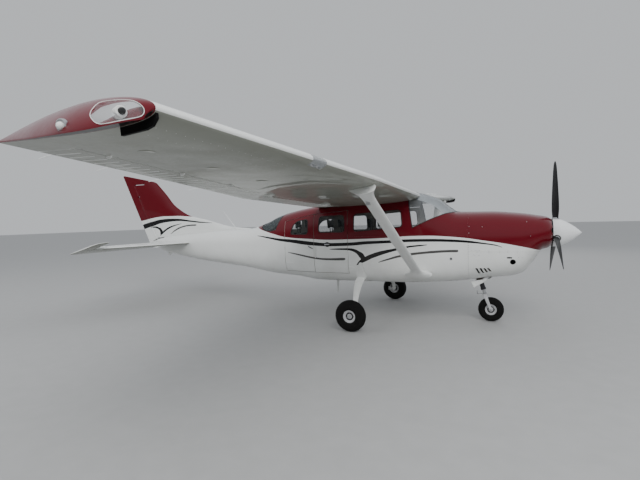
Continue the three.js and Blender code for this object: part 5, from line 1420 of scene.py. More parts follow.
# the hatch covers take the underside's painted-shade colour
wingHatches = placeHeads("wingHatches", hatchSpots, shadedUnderWhite, faceSettings["hatchRadius"], 1.6, 40, 0.96)
rivetSpots = []
for part in faceSettings["rivetShares"]:
    for upper, start in ((True, 700), (False, 660)):
        rivetSpots += spanLine(part, start, 5240, upper, faceSettings["sink"], faceSettings["rivetSpacing"])
wingRivets = placeHeads("wingRivets", rivetSpots, whitePaint, 3.0, 1.2, 6, 0.5)
wicks = []
for y in faceSettings["wickSpots"]:
    foot = linePoint(y, 1.0, 2)
    path = [foot + Vector((18, 0, 4)), foot + Vector((-20, 0, 2)), foot + Vector((-150, 0, -14))]
    wicks.append(tube("bar", path, [4.5, 3.2, 2.2], 8, gearPaint))
wicks = join("wicks", wicks, gearPaint)
aileronLugs = []
for part in faceSettings["lugShares"]:
    spot = aileronEnds[0].lerp(aileronEnds[1], part)
    low, station = spot.z - midLift(spot.y, share)[1], firewallX - spot.x
    outline = [(station - 44, low - 16), (station - 16, low - 16), (station - 16, low + 6), (station - 62, low + 6)]
    aileronLugs.append(sidePrism("bar", outline, spot.y - 5, spot.y + 5, gearPaint))
aileronLugs = join("aileronLugs", aileronLugs, gearPaint)
ventSpots = singleSpots(faceSettings["ventShare"], faceSettings["ventSpots"], True, -0.5)
wingVents = placeHeads("wingVents", ventSpots, whitePaint, 30, 9, 20, 0.75)
lampStation = bayBack - 9
bayWall = box("landingBayWall", (xAt(lampStation + 6), bayInner + 1, 1955), (xAt(lampStation), bayOuter - 1, 2060), darkAndShade)
keepInside(bayWall, loft("cutter", lensInner))
coat(bayWall, darkAndShade)
bayLamps = []
for y in (bayInner + 62, bayOuter - 62):
    place = (xAt(lampStation), y, wingRowAt(y)[2] - 4)
    bayLamps.append(lathe("bar", [(0.01, 4), (24, 5), (38, 11), (41, 13), (42, 9), (42, 0.2), (0.01, 0.2)], place, "X", 36))
bayLamps = join("landingLamps", bayLamps, steelBright)

print("wing tips")
# the tip is the wing's last section swept out and down to a thin edge: share of chord, station, y, height
tipTable = [(0, 820, 5335, 1993), (0.03, 835, 5395, 1976), (0.08, 880, 5450, 1956), (0.17, 985, 5480, 1942),
            (0.25, 1080, 5486, 1940), (0.5, 1360, 5440, 1955), (0.7, 1600, 5375, 1979), (0.85, 1790, 5325, 1998),
            (1, 1935, 5292, 2012)]
tipSettings = {"seam": 5283.3, "edgeHalf": 3, "fullness": 1.35, "steps": 22}


def tipRing(part, inset=0.0):
    # the joint's section carried towards the edge; part runs from 0 at the joint to 1
    count = wingSettings["points"]
    _, nose, height, chord, noseUp = wingTable[-1]
    joint = foilRing(tipSettings["seam"], nose + inset, height, chord - 2 * inset, noseUp, 0.12 - 2 * inset / chord)
    shares = [0.5 * (1 - math.cos(math.pi * abs(count - i) / count)) for i in range(2 * count + 1)]
    rows = smoothRows(tipTable, shares)
    angle = part * math.pi / 2
    out = math.sin(angle) ** tipSettings["fullness"]
    down = 1 - max(math.cos(angle), 0) ** tipSettings["fullness"]
    ring = []
    for i, ((x, y, z), (share, station, edgeY, edgeZ)) in enumerate(zip(joint, rows)):
        edge = tipSettings["edgeHalf"] * ((count > i) - (count < i)) * (1 - inset / 4)
        ring.append((x + (xAt(station) - inset - x) * down, y + (edgeY - inset - y) * out, z + (edgeZ + edge - z) * down))
    return ring


def tipLoft(name, inset=0.0):
    steps, count = tipSettings["steps"], 2 * wingSettings["points"] + 1
    rings = [tipRing(k / steps, inset) for k in range(steps + 1)]
    faces, first = ringFaces(rings), steps * count
    for i in range(count // 2):
        a, b = first + i, first + count - 1 - i
        faces.append((a, a + 1, b) if a + 2 == b else (a, a + 1, b - 1, b))
    return makePiece(name, [point for ring in rings for point in ring], faces)


# oval lens in the tip's front: points on the cap, station, y, height
tipLensRim = [(969, 5465, 2001), (969, 5452, 2027), (959, 5428, 2055), (915, 5406, 2063), (872, 5378, 2066), (845, 5356, 2062),
              (824, 5341, 2045), (816, 5336, 2024), (820, 5345, 2004), (829, 5367, 1992), (852, 5419, 1973), (901, 5458, 1958),
              (930, 5465, 1962), (952, 5468, 1978)]
tipLamp = {"look": (-1.407, -1.18, 0.45), "depth": 78, "out": 160, "place": (866, 5404, 2014), "axis": (0.93, 0.25, 0.12),
           "domePlace": (1120, 5478, 1972), "domeAxis": (0.1, 0.97, -0.2)}
tipLook = Vector(tipLamp["look"]).normalized()  # from the camera's side into the bay


def closedCurve(points, steps=6):
    # a smooth closed curve through the points
    result = []
    for i in range(len(points)):
        p0, p1, p2, p3 = (Vector(points[(i + k - 1) % len(points)]) for k in range(4))
        for k in range(steps):
            t = k / steps
            result.append(0.5 * (2 * p1 + (p2 - p0) * t + (2 * p0 - 5 * p1 + 4 * p2 - p3) * t * t
                                 + (3 * p1 - p0 - 3 * p2 + p3) * t ** 3))
    return result


tipCap = tipLoft("tipCap")
tipTree = treeOf(tipCap)
rimCurve = closedCurve([(xAt(station), y, z) for station, y, z in tipLensRim])


def tipPrism(name, near, far, grow=0.0):
    centre = sum(rimCurve, Vector()) / len(rimCurve)
    rings = [[point + (point - centre).normalized() * grow + tipLook * reach for point in rimCurve] for reach in (near, far)]
    return loft(name, rings)


tipLens = copyPiece(tipCap, "tipLens")
carve(tipLens, tipLoft("cutter", 3.0))
keepInside(tipLens, tipPrism("cutter", -tipLamp["out"], 60, -0.5))
tipBay = keepInside(tipPrism("tipBay", -tipLamp["out"], tipLamp["depth"]), tipLoft("cutter", 14.0))
carve(tipCap, tipPrism("cutter", -tipLamp["out"], 30))
carve(tipCap, tipBay)
coat(tipCap, tipPaint)
# painted reflection: the tip's faces that look down get a near-black colour for the dark ground they mirror
tipCap.data.materials.append(tipUnderReflection)
for polygon in tipCap.data.polygons:
    polygon.material_index = 1 if polygon.normal.z < -0.45 and polygon.center.y > 5.29 else 0
smooth(tipCap)
smooth(coat(tipLens, clearLens))
rimLine = []
for point in rimCurve + rimCurve[:2]:
    spot, *_ = tipTree.ray_cast((point - tipLook * 150) / 1000, tipLook)
    rimLine.append((spot * 1000 if spot else point) - tipLook * 0.5)
lensRim = placeBeads("tipLensRim", [rimLine], lampWhite, 1.6, 10)
# painted shade: a black plate under the tip's front stands for the shaded inner face of the tip's lower lip
wedgeOutline = [(816, 2046), (813, 2007), (837, 1978), (876, 1966), (1022, 1955), (1029, 2014)]
tipShadeWedge = loft("tipShadeWedge", [[(xAt(station), y, z) for station, z in wedgeOutline] for y in (5262, 5278)], shadeWedgeBlack)


def axisTube(name, place, axis, reaches, radii, sides, finish):
    # a turned form on a slanting axis; place is station, y and height
    start, along = Vector((xAt(place[0]), *place[1:])), Vector(axis).normalized()
    return tube(name, [start + along * reach for reach in reaches], radii, sides, finish)


lampPlace, lampAxis, domePlace, domeAxis = (tipLamp[key] for key in ("place", "axis", "domePlace", "domeAxis"))
lampBase = axisTube("tipLampBase", lampPlace, lampAxis, (-34, -32, -2, 0), [21, 25, 25, 23], 32, lampWhite)
lampGlass = axisTube("tipLampGlass", lampPlace, lampAxis, (0, 4, 14, 20), [15, 15, 12, 5], 32, darkAndShade)
domeFoot = axisTube("tipDomeFoot", domePlace, domeAxis, (-10, 3, 5), [28, 28, 25], 28, steelBright)
domeTurns = np.linspace(0, 1.52, 9)
domeReaches, domeRadii = [6 + 17 * math.sin(turn) for turn in domeTurns], [16 * math.cos(turn) for turn in domeTurns]
domeGlass = axisTube("tipDomeGlass", domePlace, domeAxis, [0] + domeReaches, [16] + domeRadii, 28, lampWhite)
smooth(domeGlass, 60)

# mirrored wing pieces: mesh, node, body, slot
wingPieces = [
    (wing, "wing", "airframe", "paint_white", True), (aileron, "aileron", "aileron", "paint_white", True),
    (flap, "flap", "flap", "paint_white", True), (tipCap, "wing_tip", "airframe", "paint_red", True),
    (aileronBeads, "aileronBeads", "aileron", "paint_white", False), (flapBeads, "flapBeads", "flap", "paint_white", False),
    (movingBrackets, "flapBrackets", "flap", "paint_white", False),
    (fixedBrackets, "wingBrackets", "airframe", "paint_white", False),
    (lampLens, "landingLens", "airframe", "glass", False), (tipLens, "tipLens", "airframe", "glass", False),
    (lampBase, "tipLampBase", "airframe", "paint_white", False), (lampGlass, "tipLampGlass", "airframe", "steel", False),
    (domeFoot, "tipDomeFoot", "airframe", "paint_white", False), (domeGlass, "tipDomeGlass", "airframe", "glass", False),
    (lensRim, "tipLensRim", "airframe", "steel", False), (tipShadeWedge, "tipShadeWedge", "airframe", "blade_black", False),
    (bayWall, "landingBayWall", "airframe", "panel_plastic", False), (bayLamps, "landingLamps", "airframe", "steel", False),
    (wingScrews, "wingScrews", "airframe", "steel", False), (wingHatches, "wingHatches", "airframe", "paint_white", False),
    (wingRivets, "wingRivets", "airframe", "paint_white", False), (wicks, "aileronWicks", "aileron", "paint_white", False),
    (aileronLugs, "aileronLugs", "airframe", "steel", False), (wingVents, "wingVents", "airframe", "paint_white", False),
]
for piece, name, body, slotName, isNode in wingPieces:
    right = mirrorPiece(piece, name + "Right")
    piece.name = piece.data.name = name + "Left"
    for word, one in (("left", piece), ("right", right)):
        rider = body if body == "airframe" else f"{body}_{word}"
        finish(one, rider, slotName, *([f"{name}_{word}"] if isNode else []))

print("struts")
strutSettings = {"foot": (672, 560, 735), "head": (838, 2545, 1870), "cuffs": [0.085, 0.905]}
strutTable = [  # share of the length, chord, thickness
    (0, 400, 116), (0.025, 330, 96), (0.045, 200, 66), (0.07, 158, 54), (0.1, 146, 50), (0.9, 146, 50), (0.94, 168, 64),
    (0.975, 230, 100), (1, 300, 130)]
strutPlaces = [0, 0.012, 0.022, 0.03, 0.042, 0.055, 0.07, 0.085, 0.1, 0.3, 0.6, 0.9, 0.915, 0.93, 0.945, 0.96, 0.975, 0.988, 1]
strutFoot, strutHead = (Vector((xAt(station), y, z)) for station, y, z in (strutSettings["foot"], strutSettings["head"]))
strutRun = (strutHead - strutFoot).normalized()
strutWide = (Vector((1, 0, 0)) - strutRun * strutRun.x).normalized()
strutDeep = strutRun.cross(strutWide)


def strutRing(part, chord, thick, more=0):
    # an oval that is fuller ahead
    ring = []
    for angle in turns(40, more):
        out = thick / 2 * math.sin(angle) * (1 - 0.25 * math.cos(angle - math.pi))
        ring.append(strutFoot.lerp(strutHead, part) + strutWide * (chord / 2 * math.cos(angle)) + strutDeep * out)
    return ring


strut = loft("strutLeft", [strutRing(*row) for row in smoothRows(strutTable, strutPlaces)], whitePaint)
carve(strut, wholeWing)
carve(strut, hull("cutter", 0, 3650, -0.4))
smooth(coat(strut, whitePaint), 40)
strutRight = mirrorPiece(strut, "strutRight")
tieBlock = sidePrism("tieDownLeft", [(818, 1745), (858, 1745), (858, 1705), (818, 1705)], 2330, 2370, steelBright)
for word, piece, tie in (("left", strut, tieBlock), ("right", strutRight, mirrorPiece(tieBlock, "tieDownRight"))):
    finish(piece, "airframe", "paint_white", f"strut_{word}")
    finish(tie, "airframe", "steel")
strutLines = []
for row in smoothRows(strutTable, strutSettings["cuffs"]):
    line = strutRing(*row, 2)
    strutLines += [line, [Vector((point.x, -point.y, point.z)) for point in line]]
finish(placeBeads("strutCuffEdges", strutLines, gearPaint, 2.6, 6), "airframe", "paint_white")

print("tail surfaces")
tailSettings = {"height": 1163, "hinge": 5890, "droop": 14.5, "root": 150, "tip": 1796, "brackets": (0.3, 0.86), "beads": 18}
stabilizerTable = [(60, 5180, 720, 66), (1640, 5560, 340, 44), (1762, 5610, 290, 36), (1786, 5665, 235, 26)]


def tailRing(y, nose, chord, thick):
    return foilRing(y, nose, tailSettings["height"], chord, 0, thick / chord, 0)


def hingeBar(name, y0, y1, radius, endRadius=None):
    ends = [(xAt(tailSettings["hinge"]), y, tailSettings["height"]) for y in (y0, y1)]
    return tube(name, ends, [radius, endRadius or radius], 32)


stabilizer = loft("stabilizerLeft", [tailRing(y, nose, chord + 60, thick) for y, nose, chord, thick in stabilizerTable], whitePaint)
carve(stabilizer, box("cutter", (-6000, -10, 1000), (xAt(tailSettings["hinge"]), 2000, 1300)))
carve(stabilizer, hingeBar("cutter", -5, 1900, 33, 29))
carve(stabilizer, hull("cutter", 3700, 6190, -0.4))
# painted shade on the stabilizer's faces that look down
paintShadeUnder(coat(stabilizer, whitePaint), shadedUnderWhite)
smooth(stabilizer)
finish(mirrorPiece(stabilizer, "stabilizerRight"), "airframe", "paint_white", "stabilizer_right")
finish(stabilizer, "airframe", "paint_white", "stabilizer_left")

elevatorRows = [(150, 5872, 6300, 50), (1500, 5874, 6305, 44), (1796, 5876, 6302, 38)]
hornRows = [(1796, 5470, 6302, 38), (1900, 5500, 6296, 36), (1962, 5560, 6270, 30), (1981, 5680, 6200, 16)]
elevatorHalf = loft("elevatorHalf", [tailRing(y, front, back - front, thick) for y, front, back, thick in elevatorRows], whitePaint)
keepInside(elevatorHalf, box("cutter", (-6000, 0, 1000), (xAt(tailSettings["hinge"]), 2000, 1300)))
carve(elevatorHalf, hingeBar("cutter", tailSettings["root"], tailSettings["tip"] + 1, 25, 21), "UNION")
hornPlaces = [1796, 1830, 1870, 1900, 1925, 1945, 1962, 1973, 1981]
horn = loft("horn", [tailRing(y, front, back - front, thick) for y, front, back, thick in smoothRows(hornRows, hornPlaces)])
carve(elevatorHalf, horn, "UNION")
for part in tailSettings["brackets"]:
    y = tailSettings["tip"] * part
    carve(elevatorHalf, hingeBar("cutter", y - 12, y + 12, 29))
# painted shade on the elevator's faces that look down
paintShadeUnder(coat(elevatorHalf, whitePaint), shadedUnderWhite)
smooth(elevatorHalf)
elevatorOther = mirrorPiece(elevatorHalf, "elevatorOther")
elevatorBars = [hingeBar("bar", -155, 155, 18)]
for part in tailSettings["brackets"]:
    for side in (-1, 1):
        y = side * tailSettings["tip"] * part
        elevatorBars.append(hingeBar("bar", y - 16, y + 16, 8))
beadLinesTail = []
for side in (-1, 1):
    for k in range(1, tailSettings["beads"]):
        y = tailSettings["root"] + 1640 * k / tailSettings["beads"]
        for upper in (1, -1):
            line = []
            for part in np.linspace(0, 1, 7):
                station = 5925 + part * 355
                thick = 50 - 12 * (y - tailSettings["root"]) / 1646
                fraction = (station - 5872) / 430
                rise = foilHeight(fraction, thick / 430, 0, True) * 430 + 2.5 * fraction
                line.append((xAt(station), side * y, tailSettings["height"] + upper * (rise - 1.0)))
            beadLinesTail.append(line)
elevatorBeads = placeBeads("elevatorBeads", beadLinesTail, whitePaint, 3.0)
droop = turnAbout(xAt(tailSettings["hinge"]), tailSettings["height"], -tailSettings["droop"])
elevatorBar = join("elevatorBar", elevatorBars, steelBright)
for piece in (elevatorHalf, elevatorOther, elevatorBar, elevatorBeads):
    piece.data.transform(droop)
elevatorHalf.name = elevatorHalf.data.name = "elevatorLeft"
elevatorOther.name = elevatorOther.data.name = "elevatorRight"
finish(elevatorHalf, "elevator", "paint_white", "elevator")
for piece in (elevatorOther, elevatorBar, elevatorBeads):
    finish(piece, "elevator", "paint_white")

finTable = [  # height, front, back, thickness
    (1040, 3860, 6435, 70), (1425, 3880, 6631, 84), (1440, 4080, 6639, 84), (1460, 4300, 6649, 85), (1508, 4549, 6674, 86),
    (1613, 4958, 6728, 86), (1690, 5330, 6767, 84), (1819, 5598, 6834, 82), (1936, 5768, 6894, 79), (2124, 5936, 6991, 74),
    (2424, 6239, 7145, 64), (2700, 6518, 7287, 54)]
finOutline = [(3870, 1000), (6440, 1050), (6502, 1187), (7185, 2596), (7160, 2612), (6900, 2560), (6300, 2436), (6225, 2405),
              (3870, 2405)]
rudderSettings = {"low": (6196, 1080), "high": (6868, 2400), "nose": 27, "gap": 16, "hornStation": 6560, "hornHeight": 2400,
                  "brackets": (0.3, 0.8)}


def finRing(height, front, back, thick):
    ring = foilRing(0, front, 0, back - front, 0, thick / (back - front), 0)
    return [(x, z, height) for x, y, z in ring]


def hingeStationAt(height):
    (s0, z0), (s1, z1) = rudderSettings["low"], rudderSettings["high"]
    return s0 + (height - z0) / (z1 - z0) * (s1 - s0)


def rudderRegion(clearance):
    floor, station = rudderSettings["hornHeight"] - clearance, rudderSettings["hornStation"] - clearance
    return [(hingeStationAt(1020), 1020), (6700, 1020), (7500, 2700), (station, 2700), (station, floor),
            (hingeStationAt(floor), floor)]


finHeights = [1040, 1200, 1425, 1432, 1440, 1450, 1460, 1475, 1490, 1508, 1540, 1580, 1613, 1650, 1690, 1730, 1775, 1819, 1875,
              1936, 2000, 2060, 2124, 2220, 2320, 2424, 2560, 2700]
finWhole = loft("finWhole", [finRing(*row) for row in smoothRows(finTable, finHeights)])
keepInside(finWhole, sidePrism("cutter", finOutline, -100, 100))
hingeLow, hingeHigh = (Vector((xAt(station), 0, z)) for station, z in (rudderSettings["low"], rudderSettings["high"]))
hingeRun = (hingeHigh - hingeLow).normalized()
hingeSpots = [hingeLow.lerp(hingeHigh, part) for part in rudderSettings["brackets"]]
fin = copyPiece(finWhole, "finSkin")
carve(fin, sidePrism("cutter", rudderRegion(rudderSettings["gap"]), -200, 200))
carve(fin, tube("cutter", [hingeLow.lerp(hingeHigh, -0.1), hingeHigh], [36, 34], 32))
carve(fin, hull("cutter", 3700, 6190, -0.4))
keepInside(fin, box("cutter", (xAt(6900), -200, 1270), (xAt(3900), 200, 2700)))
rudder = keepInside(finWhole, sidePrism("cutter", rudderRegion(0), -200, 200))
carve(rudder, tube("cutter", [hingeLow, hingeLow.lerp(hingeHigh, 0.992)], [rudderSettings["nose"], 23], 32), "UNION")
for spot in hingeSpots:
    carve(rudder, tube("cutter", [spot - hingeRun * 12, spot + hingeRun * 12], 31, 24))
carve(rudder, hull("cutter", 3700, 6190, -6))
rudder.name = rudder.data.name = "rudderSkin"
rudderPins = [tube("bar", [spot + hingeRun * reach for reach in (-16, 16)], 8, 14) for spot in hingeSpots]
rudderBar = join("rudderPins", rudderPins, steelBright)
for piece, body, node in ((fin, "airframe", "fin"), (rudder, "rudder", "rudder")):
    coat(piece, sidePaint)
    smooth(piece)
    finish(piece, body, "paint_red", node)
finish(rudderBar, "rudder", "steel")

# fixed hinge lugs of the rudder and the elevator: place, way ahead, reach
lugAhead = (Vector((1, 0, 0)) - hingeRun * hingeRun.x).normalized()
lugTable = [(spot, lugAhead, rudderSettings["nose"] + 24) for spot in hingeSpots]
for side in (-1, 1):
    for part in tailSettings["brackets"]:
        spot = Vector((xAt(tailSettings["hinge"]), side * tailSettings["tip"] * part, tailSettings["height"]))
        lugTable.append((spot, Vector((1, 0, 0)), 48))
lugs = [tube("bar", [spot + ahead * 8.3, spot + ahead * reach], 6, 12) for spot, ahead, reach in lugTable]
finish(join("tailLugs", lugs, steelBright), "airframe", "steel")

print("landing gear")
gearSettings = {"mainStation": 1479, "halfTrack": 1232, "noseStation": -280, "grooves": (-0.42, -0.15, 0.15, 0.42),
                "grooveDepth": 4.0, "lean": 0.309}
tyreTable = {"main": {"radius": 220, "half": 78, "rim": 88, "rimHalf": 62},
             "nose": {"radius": 178, "half": 62, "rim": 80, "rimHalf": 48}}


def tyreProfile(size):
    # outer curve with tread grooves, then straight across the bead seat
    middle, reach = (size["radius"] + size["rim"]) / 2, (size["radius"] - size["rim"]) / 2
    profile = []
    steps = 56
    for k in range(steps + 1):
        angle = -math.pi / 2 + math.pi * k / steps
        radius = middle - reach + 2 * reach * max(math.cos(angle), 0) ** 0.62
        across = size["half"] * math.copysign(abs(math.sin(angle)) ** 0.9, math.sin(angle))
        for groove in gearSettings["grooves"]:
            if abs(across / size["half"] - groove) < 0.035:
                radius -= gearSettings["grooveDepth"]
        if abs(radius - (middle + reach * 0.35)) < 3:
            radius += 0.8
        profile.append((radius, across))
    profile[0], profile[-1] = (size["rim"], -size["rimHalf"]), (size["rim"], size["rimHalf"])
    return profile


def rimProfile(size, bore):
    # one face from bore to edge, then the same back on the other face
    outer, half = size["rim"] - 0.3, size["rimHalf"]
    face = [(bore, 0.7), (bore + 16, 0.7), (bore + 20, 0.5), (outer * 0.62, 0.34), (outer * 0.64, 0.7), (outer - 15, 0.78),
            (outer - 12, 0.9), (outer - 7, 1.02), (outer - 1, 1.02), (outer, 0.96)]
    return [(radius, -half * share) for radius, share in face] + [(radius, half * share) for radius, share in reversed(face)]


mainStation, noseStation, halfTrack = (gearSettings[key] for key in ("mainStation", "noseStation", "halfTrack"))
wheelTable = [  # name, body, tyre node, rim node, size, station, y, bore
    ("mainLeft", "main_wheel_left", "main_tyre_left", "main_rim_left", "main", mainStation, halfTrack, 19.5),
    ("mainRight", "main_wheel_right", "main_tyre_right", "main_rim_right", "main", mainStation, -halfTrack, 19.5),
    ("nose", "nose_wheel", "nose_tyre", "nose_rim", "nose", noseStation, 0, 14.5),
]
for name, body, tyreNode, rimNode, kind, station, y, bore in wheelTable:
    size = tyreTable[kind]
    middle = (xAt(station), y, size["radius"])
    tyre = lathe(name + "Tyre", tyreProfile(size), middle, "Y", 96, tyreRubber)
    finish(smooth(tyre, 40), body, "tyre", tyreNode)
    rim = lathe(name + "Rim", rimProfile(size, bore), middle, "Y", 72, rimSilver)
    # painted shade: faces between 0.42 and 0.65 of the rim radius turn black, standing for the shaded openings and
    # recess in the wheel's web
    rim.data.materials.append(darkAndShade)
    for polygon in rim.data.polygons:
        spot = polygon.center * 1000
        out = math.hypot(spot.x - middle[0], spot.z - middle[2])
        polygon.material_index = 1 if 0.42 * size["rim"] < out < 0.65 * size["rim"] else 0
    finish(smooth(rim, 30), body, "rim_alloy", rimNode)
    spots = []
    for face in (-1, 1):
        for k in range(6):
            angle = math.pi / 6 + k * math.pi / 3
            fore, rise = size["rim"] * 0.62 * math.cos(angle), size["rim"] * 0.62 * math.sin(angle)
            across = y + face * (size["rimHalf"] * 0.34 + 0.5)
            spots.append(((middle[0] + fore, across, middle[2] + rise), (0, face, 0)))
    finish(placeHeads(name + "RimBolts", spots, steelBright, 6.5, 6, 6, 0.95), body, "steel")
    valvePath = [(middle[0] + size["rim"] * 0.72, y - size["rimHalf"] * share, middle[2]) for share in (0.3, 0.8)]
    finish(tube(name + "Valve", valvePath, 3.5, 10, sealRubber), body, "tyre")

legTable = [  # row, station, y, height, width, thickness
    (0, 1578, 380, 668, 150, 46), (1, 1574, 500, 628, 146, 44), (2, 1560, 640, 572, 128, 40), (3, 1530, 800, 502, 104, 36),
    (4, 1494, 960, 418, 82, 32), (5, 1468, 1070, 335, 66, 30), (6, 1462, 1112, 262, 60, 30), (7, 1472, 1122, 214, 56, 28)]


def legLoft(name):
    rows = smoothRows(legTable, np.linspace(0, 7, 36))
    spots = [Vector((xAt(row[1]), row[2], row[3])) for row in rows]
    rings = []
    for i, row in enumerate(rows):
        along = (spots[min(i + 1, 35)] - spots[max(i - 1, 0)]).normalized()
        wide = (Vector((1, 0, 0)) - along * along.x).normalized()
        deep = along.cross(wide)
        wide, deep = wide * (row[4] / 2), deep * (row[5] / 2)
        rings.append([spots[i] + wide * math.cos(angle) + deep * math.sin(angle) for angle in turns(28)])
    return loft(name, rings, gearPaint)


leg = legLoft("gearLegLeft")
carve(leg, hull("cutter", 500, 2500, -0.4))
carve(leg, box("cutter", (0, 1125.7, 0), (3000, 2000, 1000)))
smooth(coat(leg, gearPaint), 40)
legRight = mirrorPiece(leg, "gearLegRight")
brakePath = [(1600, 640, 556), (1575, 800, 486), (1532, 960, 404), (1503, 1070, 322), (1500, 1106, 262), (1530, 1136, 236)]
brakeLine = tube("brakeLineLeft", [(xAt(station), y, z) for station, y, z in brakePath], 4, 8, sealRubber)
for word, piece, line in (("left", leg, brakeLine), ("right", legRight, mirrorPiece(brakeLine, "brakeLineRight"))):
    finish(piece, "airframe", "paint_white", f"gear_leg_{word}")
    finish(line, "airframe", "panel_plastic")

noseAxle = Vector((xAt(noseStation), 0, tyreTable["nose"]["radius"]))


def steerPoint(height):
    return Vector((noseAxle.x - gearSettings["lean"] * (height - noseAxle.z) - 10, 0, height))


barrel = join("noseBarrel", [
    tube("bar", [steerPoint(470), steerPoint(480), steerPoint(900)], [36, 34, 34], 32),
    tube("bar", [steerPoint(470), steerPoint(496)], 38, 32),
    tube("bar", [steerPoint(896), steerPoint(930)], 44, 32),
    box("bar", (xAt(2) + 0.3, -60, 890), (steerPoint(915).x, 60, 940)),
    box("bar", (xAt(2) + 0.3, -50, 735), (steerPoint(760).x, 50, 775)),
], strutDark)
finish(barrel, "airframe", "steel", "nose_strut")
piston = tube("nosePiston", [steerPoint(372), steerPoint(700)], 24, 32, steelBright)
finish(smooth(piston), "nose_fork", "steel")
crown = steerPoint(392)
forkBars = [loft("bar", [[(crown.x + a * w, y, z + (8 if a > 0 else 0)) for a, z in ((-1, 366), (1, 370), (1, 398), (-1, 402))]
                         for y, w in ((-88, 22), (-60, 30), (60, 30), (88, 22))])]
for side in (-1, 1):
    rows = [(crown.x, 392, 26), (crown.x + (noseAxle.x - crown.x) * 0.5, 290, 21), (noseAxle.x, 184, 19), (noseAxle.x + 6, 156, 14)]
    rings = [[(x + wide * math.cos(angle), side * (79 + 7 * math.sin(angle)), z + wide * 0.25 * math.cos(angle))
              for angle in turns(16)] for x, z, wide in rows]
    forkBars.append(loft("bar", rings))
forkBars.append(tube("bar", [(noseAxle.x, y, noseAxle.z) for y in (-94, 94)], 13.5, 20))
fork = join("noseForkBody", forkBars, rimSilver)
bevel = fork.modifiers.new("softEdges", "BEVEL")
bevel.width, bevel.segments, bevel.limit_method = 0.003, 2, "ANGLE"
bake(fork)
smooth(fork, 40, False)
finish(fork, "nose_fork", "paint_white", "nose_fork")
linkX = steerPoint(430).x
scissors = join("noseScissors", [
    box("bar", (linkX - 104, -9, 398), (linkX - 20, 9, 410)),
    box("bar", (linkX - 108, -9, 398), (linkX - 94, 9, 452)),
    tube("bar", [(linkX - 100, -22, 446), (linkX - 100, 22, 446)], 7, 12),
], steelBright)
finish(scissors, "nose_fork", "steel")
capSpots = [((noseAxle.x, side * 95, noseAxle.z), (0, side, 0)) for side in (-1, 1)]
finish(placeHeads("noseAxleNuts", capSpots, steelBright, 17, 9, 6, 0.9), "nose_fork", "steel")

print("seats")
seatSettings = {"voxel": 8.0, "reach": 24.0, "pressure": 4.0, "inset": 15.0, "halfWidth": 220, "grooves": (-72, 72),
                "grooveDepth": 7.0, "grooveWidth": 9.0, "station": 1130}
seatPads = {  # outline from the seat's station, half the width, corner radius
    "cushion": ([(-250, 890), (240, 886), (240, 980), (-200, 1010), (-250, 985)], 218, 40),
    "back": ([(172, 972), (268, 936), (363, 1343), (349, 1369), (287, 1363)], 208, 30),
    "rest": ([(302, 1404), (362, 1404), (383, 1570), (320, 1575)], 118, 24),
}


def inflate(piece):
    # the pad swells under air pressure and stops a set way from where it started
    remesh = piece.modifiers.new("evenMesh", "REMESH")
    remesh.mode = "VOXEL"
    remesh.voxel_size = seatSettings["voxel"] / 1000
    bake(piece)
    before = np.empty(len(piece.data.vertices) * 3)
    piece.data.vertices.foreach_get("co", before)
    cloth = piece.modifiers.new("padCloth", "CLOTH")
    cloth.settings.use_pressure = True
    cloth.settings.uniform_pressure_force = seatSettings["pressure"]
    cloth.settings.effector_weights.gravity = 0
    for number in range(1, 21):
        bpy.context.scene.frame_set(number)
    bake(piece)
    bpy.context.scene.frame_set(1)
    after = np.empty(len(piece.data.vertices) * 3)
    piece.data.vertices.foreach_get("co", after)
    moves = (after - before).reshape(-1, 3)
    length = np.maximum(np.linalg.norm(moves, axis=1, keepdims=True), 1e-9)
    reach = seatSettings["reach"] / 1000
    moves *= reach * np.tanh(length / reach) / length
    piece.data.vertices.foreach_set("co", (before.reshape(-1, 3) + moves).ravel())
    soften = piece.modifiers.new("roundMesh", "SUBSURF")
    soften.levels = soften.render_levels = 1
    bake(piece)
    return piece


def pressGrooves(piece):
    # sewn channels run lengthwise along the pad
    count = len(piece.data.vertices)
    places, facings = np.empty(count * 3), np.empty(count * 3)
    piece.data.vertices.foreach_get("co", places)
    piece.data.vertices.foreach_get("normal", facings)
    places, facings = places.reshape(-1, 3), facings.reshape(-1, 3)
    for middleY in seatSettings["grooves"]:
        depth = np.exp(-(((places[:, 1] * 1000 - middleY) / seatSettings["grooveWidth"]) ** 2)) * seatSettings["grooveDepth"] / 1000
        places -= facings * (depth * (1 - np.abs(facings[:, 1])))[:, None]
    piece.data.vertices.foreach_set("co", places.ravel())
    piece.data.update()
    return piece


def weltLine(piece, outline, y):
    # a line of piping on the pad, near one of its flat sides
    tree = treeOf(piece)
    line = []
    for station, height in outline + outline[:1]:
        place, *_ = tree.find_nearest(Vector((xAt(station), y, height)) / 1000)
        line.append(place * 1000)
    return line


padModels, weltModels = {}, {}
for word, (outline, half, radius) in seatPads.items():
    inset, shape = seatSettings["inset"], [(seatSettings["station"] + along, height) for along, height in outline]
    pad = inflate(sidePrism(word, roundOutline(shape, inset, radius), -half + inset, half - inset, seatCloth))
    if word != "rest":
        pressGrooves(pad)
    weltLines = [weltLine(pad, roundOutline(shape, 6, radius), side * (half - 9)) for side in (-1, 1)]
    weltModels[word] = placeBeads(word + "Welt", weltLines, seatCloth, 4.2, 8)
    pad.data.shade_smooth()
    coat(pad, seatCloth)
    padModels[word] = pad

